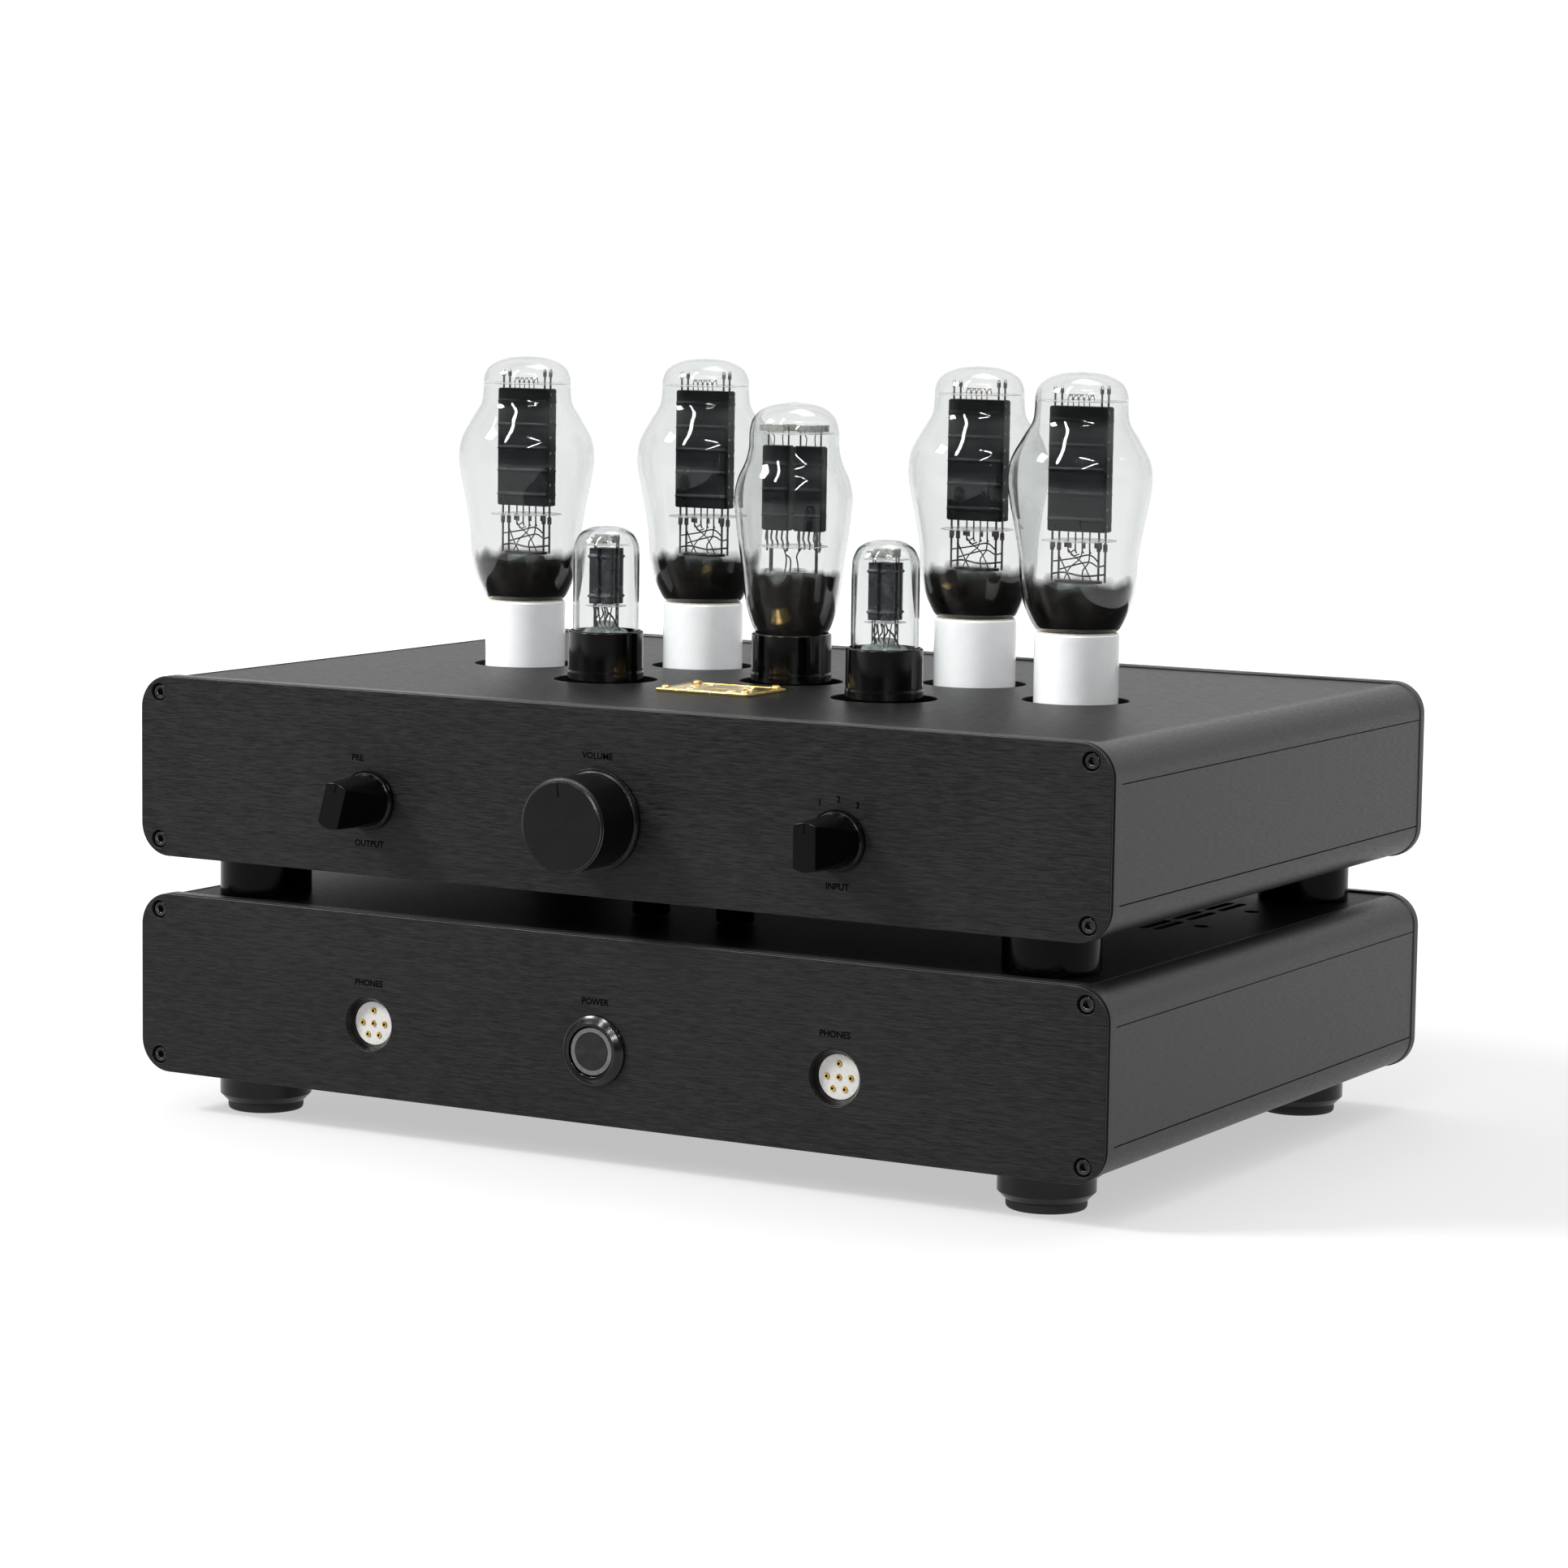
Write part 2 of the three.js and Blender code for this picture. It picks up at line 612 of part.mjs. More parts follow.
// Potentiometer or rotary switch behind the panel: a can, and a threaded bushing with its nut
// that passes through the panel. The knob's shaft turns in the bore.
function rotaryControl(name, x, can) {
  const bushingRadius = 4.7;
  const bushingFront = 3.2;
  const nutRadius = 6.2;
  const nutFront = 2.4;
  const back = -FRONT_THICKNESS - GAP;
  const nut = forwardCylinder(nutRadius, GAP, nutFront, 6);
  const bushing = forwardCylinder(bushingRadius, back - 1, bushingFront, 14);
  const bore = forwardCylinder(SHAFT_BORE, -SHAFT_REACH - 1, bushingFront + 1, KNOB_STEPS);
  const body = cut(join(solid(can(back)), solid(bushing), solid(nut)), solid(bore));
  return piece(name, body, FINISH.steel, [x, FRONT_Y, UPPER_Z + CONTROL_Z]);
}

function roundCan(back) {
  const [radius, length] = [12.5, 21];
  return forwardCylinder(radius, back - length, back, 20);
}

function squareCan(back) {
  const [width, length] = [28, 18];
  return block(width, length, width, 0, length / 2 - back, 0);
}

const controls = gather(
  volumeKnob(),
  selectorKnob('output_selector_knob', -SELECTOR_X, 15),
  selectorKnob('input_selector_knob', SELECTOR_X, 0),
  rotaryControl('volume_potentiometer', 0, roundCan),
  rotaryControl('output_selector_switch', -SELECTOR_X, squareCan),
  rotaryControl('input_selector_switch', SELECTOR_X, squareCan),
);

// ---------------------------------------------------------------- power switch

const BUTTON_RADIUS = 10.1;
const BUTTON_FACE = 2.7;
const BUTTON_TRAVEL = 2;
const BUTTON_LENGTH = 14;
const SWITCH_STEPS = 28;

// A bevelled bezel in front of the panel and a threaded barrel with the switch behind it.
function powerSwitchBody() {
  const bore = BUTTON_RADIUS + GAP;
  const boreFloor = BUTTON_FACE - BUTTON_LENGTH - BUTTON_TRAVEL - 1;
  const barrel = BUTTON_HOLE_RADIUS - GAP;
  const barrelEnd = -34;
  const [flangeRadius, flangeEdge] = [14.5, 1.3];
  const [lipRadius, lipFront] = [11.9, 3.6];
  const shape = turnedForward([
    [0, barrelEnd],
    [barrel, barrelEnd],
    [barrel, GAP],
    [flangeRadius, GAP],
    [flangeRadius, flangeEdge],
    [lipRadius, lipFront],
    [bore, lipFront],
    [bore, boreFloor],
    [0, boreFloor],
  ], SWITCH_STEPS);
  return piece('power_switch_body', solid(shape), FINISH.blackAluminium,
    [0, FRONT_Y, LOWER_Z + SOCKET_Z]);
}

function powerButton() {
  const edge = 0.3;
  const shape = turnedForward([
    [0, BUTTON_FACE - BUTTON_LENGTH],
    [BUTTON_RADIUS, BUTTON_FACE - BUTTON_LENGTH],
    [BUTTON_RADIUS, BUTTON_FACE - edge],
    [BUTTON_RADIUS - edge, BUTTON_FACE],
    [0, BUTTON_FACE],
  ], SWITCH_STEPS);
  return piece('power_button', solid(shape), FINISH.button, [0, FRONT_Y, LOWER_Z + SOCKET_Z]);
}

// ---------------------------------------------------------------- headphone sockets

// A shell flanged behind the panel, around a recessed insulator with six contact holes: one in
// the middle and five on a circle, where the top and the two upper corners are further apart.
function headphoneSocket(name, x) {
  const shellRadius = PHONE_HOLE_RADIUS - GAP;
  const rimDepth = 0.5;
  const rimRadius = 9.9;
  const faceRadius = 9.3;
  const faceDepth = 3.1;
  const flangeRadius = 15;
  const flangeDepth = FRONT_THICKNESS + GAP;
  const flangeThickness = 2.4;
  const [barrelRadius, barrelDepth] = [9.5, 26];
  const contactRadius = 1.2;
  const contactDepth = faceDepth + 8;
  const contactCircle = 5.45;
  const contactAngles = [0, 90, 180, 240, 300];
  const shell = solid(turnedForward([
    [0, -barrelDepth],
    [barrelRadius, -barrelDepth],
    [barrelRadius, -flangeDepth - flangeThickness],
    [flangeRadius, -flangeDepth - flangeThickness],
    [flangeRadius, -flangeDepth],
    [shellRadius, -flangeDepth],
    [shellRadius, -rimDepth],
    [rimRadius, -rimDepth],
    [faceRadius, -faceDepth],
    [0, -faceDepth],
  ], 24));
  const places = contactAngles.map((angle) => {
    const turn = THREE.MathUtils.degToRad(angle);
    return [contactCircle * Math.cos(turn), contactCircle * Math.sin(turn)];
  });
  const contacts = [[0, 0], ...places].map(([px, pz]) =>
    solid(forwardCylinder(contactRadius, -contactDepth, 0, 6, px, pz)));
  return piece(name, cut(shell, ...contacts), FINISH.contacts, [x, FRONT_Y, LOWER_Z + SOCKET_Z]);
}

const frontFittings = gather(
  powerSwitchBody(),
  powerButton(),
  headphoneSocket('headphone_socket_left', -SELECTOR_X),
  headphoneSocket('headphone_socket_right', SELECTOR_X),
);

// ---------------------------------------------------------------- nameplate

// Brass plate on the deck, in front of the rectifier.
function namePlate() {
  const [width, depth, thickness, radius] = [45.4, 32.4, 1.6, 1];
  const restGap = 0.1;
  const plate = raised(roundedRectangle(width, depth, radius, 2), 0, thickness);
  return piece('nameplate', solid(plate), FINISH.brass, [0, FRONT_Y + 97.5, DECK_Z + restGap]);
}

// ---------------------------------------------------------------- rear fittings

// Flanged three-pole mains inlet, open to the rear, without its contact blades.
function mainsInlet() {
  const [width, height] = INLET_BODY.map((side) => side - 2 * GAP);
  const bodyDepth = 24;
  const [flangeWidth, flangeHeight, flangeThickness] = [50, 28, 3];
  const [cavityWidth, cavityHeight, cavityDepth] = [24.6, 17.2, 17];
  const mouth = GAP + flangeThickness;
  const body = join(
    solid(block(flangeWidth, flangeThickness, flangeHeight, 0, mouth - flangeThickness / 2, 0)),
    solid(block(width, bodyDepth, height, 0, GAP + 1 - bodyDepth / 2, 0)),
  );
  const hollow = block(cavityWidth, 2 * cavityDepth, cavityHeight, 0, mouth, 0);
  return piece('mains_inlet', body.subtract(solid(hollow)), FINISH.plastic,
    [INLET_X, REAR_Y, LOWER_Z + INLET_Z]);
}

// Six phono jacks on one plate that covers a window in the rear panel. Heights are behind it.
function signalJackPanel() {
  const plateThickness = 2;
  const plateOverlap = [12, 10];
  const collarRadius = 6;
  const collarLength = 2.4;
  const barrelRadius = 4.15;
  const boreRadius = 1.7;
  const [columns, columnPitch, rowPitch] = [3, 42, 16];
  const plateBack = GAP + plateThickness;
  const outline = roundedRectangle(
    JACK_WINDOW[0] + plateOverlap[0], JACK_WINDOW[1] + plateOverlap[1], 3, 3);
  let plate = solid(upright(outline, GAP, plateBack));
  for (let column = 0; column < columns; column += 1) {
    for (const row of [-0.5, 0.5]) {
      const [x, z] = [(column - (columns - 1) / 2) * columnPitch, row * rowPitch];
      const collar = forwardCylinder(collarRadius, -plateBack - collarLength, -plateBack + 1, 6, x, z);
      const barrel = forwardCylinder(barrelRadius, -JACK_PROJECTION, -plateBack + 1, 10, x, z);
      const bore = forwardCylinder(boreRadius, -JACK_PROJECTION - 1, -plateBack - 1, 6, x, z);
      plate = join(plate, solid(collar), solid(barrel)).subtract(solid(bore));
    }
  }
  return piece('signal_jack_panel', plate, FINISH.jacks, [JACK_X, REAR_Y, UPPER_Z + JACK_Z]);
}

// ---------------------------------------------------------------- power supply

const LOWER_FLOOR = LOWER_Z + COVER_INSET + SHEET + GAP;

// Toroidal transformer lying on the floor of the lower chassis.
function powerTransformer() {
  const [innerRadius, outerRadius, height, rounding] = [16, 54, 50, 6];
  const [x, y] = [112, 72];
  const corner = (radius, level, from, to) =>
    arc(radius, level, rounding, from, to, 1).map((point) => [point.x, point.y]);
  const ring = solid(turned([
    ...corner(innerRadius + rounding, rounding, 180, 270),
    ...corner(outerRadius - rounding, rounding, 270, 360),
    ...corner(outerRadius - rounding, height - rounding, 0, 90),
    ...corner(innerRadius + rounding, height - rounding, 90, 180),
    [innerRadius, rounding],
  ], 20));
  return piece('power_transformer', ring, FINISH.copper, [x, y, LOWER_FLOOR]);
}

// Circuit board with six reservoir capacitors on four pillars.
function powerSupplyBoard() {
  const [width, depth] = [190, 150];
  const boardBottom = 8;
  const inBoard = boardBottom + BOARD_THICKNESS / 2;
  const [capacitorRadius, capacitorTop] = [12.5, 48];
  const [columnPitch, rowPitch] = [55, 64];
  const [x, y] = [-85, 40];
  const capacitors = [-1, 0, 1].flatMap((column) => [-0.5, 0.5].map((row) =>
    solid(cylinder(capacitorRadius, inBoard, capacitorTop, 12, column * columnPitch, row * rowPitch))));
  const board = join(
    solid(block(width, depth, BOARD_THICKNESS, 0, 0, inBoard)),
    ...boardPillars(width, depth, 0, inBoard),
    ...capacitors,
  );
  return piece('power_supply_board', board, FINISH.board, [x, y, LOWER_FLOOR]);
}

// ---------------------------------------------------------------- assembly

const amplifier = gather(
  lowerChassis,
  upperChassis,
  supports,
  bushes,
  tubes,
  amplifierBoard(),
  controls,
  frontFittings,
  namePlate(),
  mainsInlet(),
  signalJackPanel(),
  powerTransformer(),
  powerSupplyBoard(),
);
amplifier.name = 'tube_amplifier';

export default amplifier;
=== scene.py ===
"""Looks of the tube amplifier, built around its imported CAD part.

Lengths are in millimetres, but lamps are placed and sized in metres.
"""

import math
import random

import bpy
from mathutils import Matrix, Quaternion, Vector, geometry


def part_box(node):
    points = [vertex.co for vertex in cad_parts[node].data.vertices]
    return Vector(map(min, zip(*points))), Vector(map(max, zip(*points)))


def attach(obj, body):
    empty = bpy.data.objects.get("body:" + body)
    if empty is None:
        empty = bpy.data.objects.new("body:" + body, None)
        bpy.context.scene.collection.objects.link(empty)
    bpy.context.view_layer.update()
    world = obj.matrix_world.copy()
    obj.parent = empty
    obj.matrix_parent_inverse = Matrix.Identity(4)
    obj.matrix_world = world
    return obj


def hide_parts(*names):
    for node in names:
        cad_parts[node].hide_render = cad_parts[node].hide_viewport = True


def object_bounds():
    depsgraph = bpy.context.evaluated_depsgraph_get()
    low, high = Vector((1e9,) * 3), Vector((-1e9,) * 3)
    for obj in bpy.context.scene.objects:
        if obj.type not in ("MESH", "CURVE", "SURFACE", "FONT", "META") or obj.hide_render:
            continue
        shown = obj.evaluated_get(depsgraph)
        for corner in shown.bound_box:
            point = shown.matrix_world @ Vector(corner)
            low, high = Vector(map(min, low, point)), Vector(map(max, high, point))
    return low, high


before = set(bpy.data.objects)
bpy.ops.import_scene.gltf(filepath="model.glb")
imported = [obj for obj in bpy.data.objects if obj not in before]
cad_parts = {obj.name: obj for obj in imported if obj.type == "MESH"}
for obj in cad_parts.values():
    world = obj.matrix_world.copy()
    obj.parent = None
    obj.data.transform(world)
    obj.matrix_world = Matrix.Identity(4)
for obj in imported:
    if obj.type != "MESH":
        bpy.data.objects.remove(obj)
cad_low, cad_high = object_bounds()
scene = bpy.context.scene
random.seed(7)

MM = 0.001
ROOT = "chassis"

# ---------------------------------------------------------------- camera, floor and light

CAMERA_AZIMUTH = 29.63
CAMERA_ELEVATION = 6.66
CAMERA_ROLL = 0.81
CAMERA_DISTANCE = 1995.1
CAMERA_LENS = 105.37
AIM_FROM_CENTRE = (-4.5, 11.5, -20.1)     # what the camera looks at, from the middle of the part
SKY_FRONT = (0.14, 0.4)                   # strength low down and overhead, on the camera's side
SKY_BACK = (0.92, 1.4)                    # the same, behind the amplifier
SKY_TURN = (-0.7, 0.3)                    # where front turns to back, as a cosine
SKY_RISE = (0.1, 0.95)                    # where low down turns to overhead, as a height
BACKDROP = 1.15
BACKDROP_EDGE = (0.84, 0.955)             # where the sky turns to the backdrop, as a cosine


def toward(azimuth, elevation=0.0):
    """The direction from the part to a viewer at this azimuth and elevation, in degrees."""
    turn, rise = math.radians(azimuth), math.radians(elevation)
    return Vector((
        math.sin(turn) * math.cos(rise), -math.cos(turn) * math.cos(rise), math.sin(rise)))


def make_camera():
    roll = math.radians(CAMERA_ROLL)
    back = toward(CAMERA_AZIMUTH, CAMERA_ELEVATION)
    level_right = Vector((0, 0, 1)).cross(back).normalized()
    level_up = back.cross(level_right)
    right = level_right * math.cos(roll) + level_up * math.sin(roll)
    up = level_up * math.cos(roll) - level_right * math.sin(roll)
    aim = (cad_low + cad_high) / 2 + Vector(AIM_FROM_CENTRE) * MM
    camera = bpy.data.objects.new("camera", bpy.data.cameras.new("camera"))
    camera.data.lens = CAMERA_LENS
    camera.data.sensor_width = 36
    camera.matrix_world = Matrix.Translation(aim + back * CAMERA_DISTANCE * MM) @ Matrix(
        (right, up, back)).transposed().to_4x4()
    scene.collection.objects.link(camera)
    scene.camera = camera


def soft_box(name, place, aim, size, power, diffuse=True, glossy=True, tilt=0):
    """A rectangular area lamp at place, in metres, that shines at aim."""
    data = bpy.data.lights.new(name, "AREA")
    data.shape = "RECTANGLE"
    data.size, data.size_y = size
    data.energy = power
    lamp = bpy.data.objects.new(name, data)
    lamp.visible_diffuse = diffuse
    lamp.visible_glossy = lamp.visible_transmission = glossy
    lamp.location = place
    lamp.rotation_mode = "QUATERNION"
    aimed = (Vector(aim) - Vector(place)).to_track_quat("-Z", "Y")
    lamp.rotation_quaternion = aimed @ Quaternion((0, 0, 1), math.radians(tilt))
    scene.collection.objects.link(lamp)


def streak_lamp(name, turn, elevation, size, power, tilt=0):
    """A narrow lamp that only shows as a glint, at a turn in degrees from the camera's azimuth."""
    aim, away = Vector((0, 0, 0.28)), 2.2
    place = aim + toward(CAMERA_AZIMUTH + turn, elevation) * away
    soft_box(name, place, aim, size, power, diffuse=False, tilt=tilt)


def make_studio():
    """Bright overhead, dim in front, and a white backdrop behind the amplifier."""
    world = bpy.data.worlds.new("studio")
    scene.world = world
    world.use_nodes = True
    tree = world.node_tree
    background = tree.nodes["Background"]
    background.inputs["Color"].default_value = (1, 1, 1, 1)
    direction = tree.nodes.new("ShaderNodeTexCoord").outputs["Generated"]

    def ranged(value, first, last, low, high):
        node = tree.nodes.new("ShaderNodeMapRange")
        node.interpolation_type = "SMOOTHSTEP"
        limits = {"From Min": first, "From Max": last, "To Min": low, "To Max": high}
        for name, number in limits.items():
            if isinstance(number, bpy.types.NodeSocket):
                tree.links.new(number, node.inputs[name])
            else:
                node.inputs[name].default_value = number
        tree.links.new(value, node.inputs["Value"])
        return node.outputs["Result"]

    behind = tree.nodes.new("ShaderNodeVectorMath")
    behind.operation = "DOT_PRODUCT"
    behind.inputs[1].default_value = -toward(CAMERA_AZIMUTH)
    tree.links.new(direction, behind.inputs[0])
    height = tree.nodes.new("ShaderNodeSeparateXYZ")
    tree.links.new(direction, height.inputs["Vector"])
    low, high = (ranged(behind.outputs["Value"], *SKY_TURN, front, back)
                 for front, back in zip(SKY_FRONT, SKY_BACK))
    sky = ranged(height.outputs["Z"], *SKY_RISE, low, high)
    strength = ranged(behind.outputs["Value"], *BACKDROP_EDGE, sky, BACKDROP)
    tree.links.new(strength, background.inputs["Strength"])
    scene.view_settings.view_transform = "Standard"
    soft_box("key", (-1.5, -1.3, 1.7), (0, 0, 0.15), (0.6, 0.6), 78)
    streak_lamp("streak_left", -42, 46, (0.18, 1.4), 50)
    streak_lamp("streak_top", 14, 43, (0.8, 0.06), 24, -26)
    streak_lamp("streak_right", 16, 27, (1.1, 0.05), 34, 28)
    soft_box("fill", (0.6, -2.0, 1.5), (0, 0, 0.2), (1.0, 1.0), 20, glossy=False)
    soft_box("overhead", (0.1, 0.5, 1.9), (0, 0, 0.15), (1.0, 0.8), 12)


def make_floor():
    """A softly glowing white sweep, dimmer well in front of it, past the camera's view."""
    half = 30
    mesh = bpy.data.meshes.new("floor")
    corners = [(-half, -half, 0), (half, -half, 0), (half, half, 0), (-half, half, 0)]
    mesh.from_pydata(corners, [], [(0, 1, 2, 3)])
    floor = bpy.data.objects.new("floor", mesh)
    floor.location.z = cad_low.z
    look = Look("floor", None, base=(0.28, 0.28, 0.28), roughness=0.9, specular=0.1)
    forward = look.add("VectorMath", Vector=look.place())
    forward.operation = "DOT_PRODUCT"
    forward.inputs[1].default_value = toward(CAMERA_AZIMUTH)
    distance = look.mix(forward.outputs["Value"], look.mix(look.noise((2, 2, 2)), 0.1), "ADD")
    look.tint(distance, (0.28, 0.28, 0.28), (0.2, 0.2, 0.2), 0.9, 1.7)
    near_glow, far_glow = 0.52, 0.88
    behind = look.ranged(distance, far_glow, near_glow, -0.9, -0.3)
    in_front = look.ranged(distance, 1.0, 0.06, 0.9, 1.7)
    look.shader.inputs["Emission Color"].default_value = (1, 1, 1, 1)
    look.feed(look.mix(behind, in_front), look.shader.inputs["Emission Strength"])
    mesh.materials.append(look.material)
    scene.collection.objects.link(floor)


# ---------------------------------------------------------------- materials

def paint(code):
    """A 0xRRGGBB colour as linear red, green and blue."""
    parts = [((code >> shift) & 255) / 255 for shift in (16, 8, 0)]
    return tuple(p / 12.92 if p <= 0.04045 else ((p + 0.055) / 1.055) ** 2.4 for p in parts)


class Look:
    """A material of one Principled shader, and the record's slot that it belongs to."""

    NAMES = {
        "roughness": "Roughness", "metallic": "Metallic", "ior": "IOR", "alpha": "Alpha",
        "specular": "Specular IOR Level", "transmission": "Transmission Weight",
        "anisotropy": "Anisotropic", "subsurface": "Subsurface Weight",
    }

    def __init__(self, name, slot, base, **values):
        self.slot = slot
        self.material = bpy.data.materials.new(name)
        self.material.use_nodes = True
        self.tree = self.material.node_tree
        self.shader = self.tree.nodes["Principled BSDF"]
        self.shader.inputs["Base Color"].default_value = (*base, 1)
        for key, value in values.items():
            self.shader.inputs[self.NAMES[key]].default_value = value

    def add(self, kind, **inputs):
        node = self.tree.nodes.new("ShaderNode" + kind)
        for key, value in inputs.items():
            self.feed(value, node.inputs[key.replace("_", " ")])
        return node

    def feed(self, value, socket):
        if isinstance(value, bpy.types.NodeSocket):
            self.tree.links.new(value, socket)
        else:
            socket.default_value = value

    def place(self):
        return self.add("TexCoord").outputs["Object"]

    def noise(self, scale, detail=2.0, roughness=0.5):
        """Noise over the piece, with so many features to the metre along X, Y and Z."""
        stretched = self.add("Mapping", Vector=self.place(), Scale=scale)
        return self.add(
            "TexNoise", Vector=stretched.outputs["Vector"], Scale=1.0, Detail=detail,
            Roughness=roughness).outputs["Fac"]

    def ranged(self, value, low, high, first=0.3, last=0.7):
        node = self.add(
            "MapRange", Value=value, From_Min=first, From_Max=last, To_Min=low, To_Max=high)
        return node.outputs["Result"]

    def tint(self, value, dark, light, first=0.3, last=0.7):
        ramp = self.add("ValToRGB", Fac=self.ranged(value, 0, 1, first, last))
        ramp.color_ramp.elements[0].color = (*dark, 1)
        ramp.color_ramp.elements[1].color = (*light, 1)
        self.feed(ramp.outputs["Color"], self.shader.inputs["Base Color"])

    def rough(self, value, low, high):
        self.feed(self.ranged(value, low, high), self.shader.inputs["Roughness"])

    def bump(self, value, height):
        """Relief so many millimetres high."""
        node = self.add("Bump", Height=value, Strength=1.0, Distance=height * MM)
        self.feed(node.outputs["Normal"], self.shader.inputs["Normal"])

    def blend(self, first, second, share):
        """The two values added, the first one by its share and the second by the rest."""
        return self.mix(self.mix(first, share), self.mix(second, 1 - share), "ADD")

    def mix(self, first, second, operation="MULTIPLY"):
        node = self.add("Math")
        node.operation = operation
        self.feed(first, node.inputs[0])
        self.feed(second, node.inputs[1])
        return node.outputs["Value"]


def brushed(name, slot, dark, light, stretch, roughness, specular, relief):
    """Anodised metal with fine brushing and faint large blotches; stretch is the grain's scale."""
    look = Look(name, slot, paint(dark), specular=specular)
    grain = look.noise(stretch, detail=4, roughness=0.6)
    cloud = look.noise((9, 9, 9), detail=2)
    both = look.blend(grain, cloud, 0.85)
    look.tint(both, paint(dark), paint(light), 0.4, 0.6)
    look.rough(grain, roughness - 0.1, roughness + 0.1)
    look.bump(grain, relief)
    return look


def turned_metal(name, slot, dark, light, roughness, axis, metallic=0.0, specular=0.5, spun=0.0):
    """Lathe-turned black metal whose fine rings run round the piece's own axis."""
    look = Look(name, slot, paint(dark), metallic=metallic, specular=specular, anisotropy=spun)
    around = look.add("Tangent")
    around.direction_type = "RADIAL"
    around.axis = "XYZ"[axis]
    look.feed(around.outputs["Tangent"], look.shader.inputs["Tangent"])
    flat = tuple(0.0 if i == axis else 1.0 for i in range(3))
    radial = look.add("VectorMath", Vector=look.place())
    radial.operation = "MULTIPLY"
    radial.inputs[1].default_value = flat
    length = look.add("VectorMath")
    length.operation = "LENGTH"
    look.feed(radial.outputs["Vector"], length.inputs[0])
    rings = look.add("TexNoise", Scale=1600.0, Detail=3.0)
    rings.noise_dimensions = "1D"
    look.feed(length.outputs["Value"], rings.inputs["W"])
    look.tint(rings.outputs["Fac"], paint(dark), paint(light))
    look.rough(rings.outputs["Fac"], roughness - 0.05, roughness + 0.05)
    look.bump(rings.outputs["Fac"], 0.001)
    return look


def plain(name, slot, dark, light, roughness, grain=700, relief=0.01, spread=0.05, **values):
    """A moulded or cast surface: fine mottling in colour, gloss and relief."""
    look = Look(name, slot, paint(dark), **values)
    mottle = look.noise((grain, grain, grain), detail=4)
    broad = look.noise((35, 35, 35), detail=3)
    both = look.blend(mottle, broad, 0.5)
    look.tint(both, paint(dark), paint(light), 0.38, 0.62)
    look.rough(both, max(roughness - spread, 0.01), roughness + spread)
    look.bump(mottle, relief)
    return look


def clear_glass():
    """Blown glass with a faint ripple; lamps shine straight through it."""
    look = Look("clear_glass", "glass", (0.98, 0.985, 0.98), roughness=0.0, ior=1.32,
                transmission=1.0)
    ripple = look.noise((60, 60, 30), detail=1)
    look.bump(ripple, 0.006)
    inside = look.add("VolumeAbsorption", Color=(0.12, 0.16, 0.18, 1), Density=175.0)
    look.feed(inside.outputs["Volume"], look.tree.nodes["Material Output"].inputs["Volume"])
    through = look.add("BsdfTransparent", Color=(0.9, 0.91, 0.905, 1))
    rays = look.add("LightPath")
    mixed = look.add("MixShader", Fac=rays.outputs["Is Shadow Ray"])
    look.feed(look.shader.outputs["BSDF"], mixed.inputs[1])
    look.feed(through.outputs["BSDF"], mixed.inputs[2])
    look.feed(mixed.outputs["Shader"], look.tree.nodes["Material Output"].inputs["Surface"])
    return look


def getter_mirror(name, edge, fade):
    """Dark mirror flashed inside the glass, which thins out above a height on the piece."""
    look = Look(name, "glass", (0.006, 0.0055, 0.005), roughness=0.08, specular=0.5)
    height = look.add("SeparateXYZ", Vector=look.place()).outputs["Z"]
    cloud = look.noise((90, 90, 40), detail=3)
    level = look.mix(height, look.mix(look.mix(cloud, 0.5, "SUBTRACT"), 0.012), "ADD")
    clear = look.ranged(level, 1.0, 0.0, (edge - fade) * MM, (edge + fade) * MM)
    look.feed(clear, look.shader.inputs["Alpha"])
    streak = look.noise((200, 200, 15), detail=4)
    look.tint(streak, (0.002, 0.002, 0.0018), (0.014, 0.012, 0.010))
    look.rough(streak, 0.05, 0.14)
    return look


def mica():
    look = Look("mica", "glass", (0.3, 0.3, 0.29), roughness=0.25, specular=0.3, alpha=0.6)
    flake = look.noise((400, 400, 2000), detail=4)
    look.tint(flake, (0.2, 0.2, 0.19), (0.42, 0.42, 0.4))
    look.bump(flake, 0.01)
    return look


def light_ring():
    """Milky plastic ring round the button's face."""
    look = Look("light_ring", "button", paint(0x585858), roughness=0.35, subsurface=0.2)
    look.tint(look.noise((500, 500, 500), detail=3), paint(0x505050), paint(0x606060))
    return look


LOOKS = {}


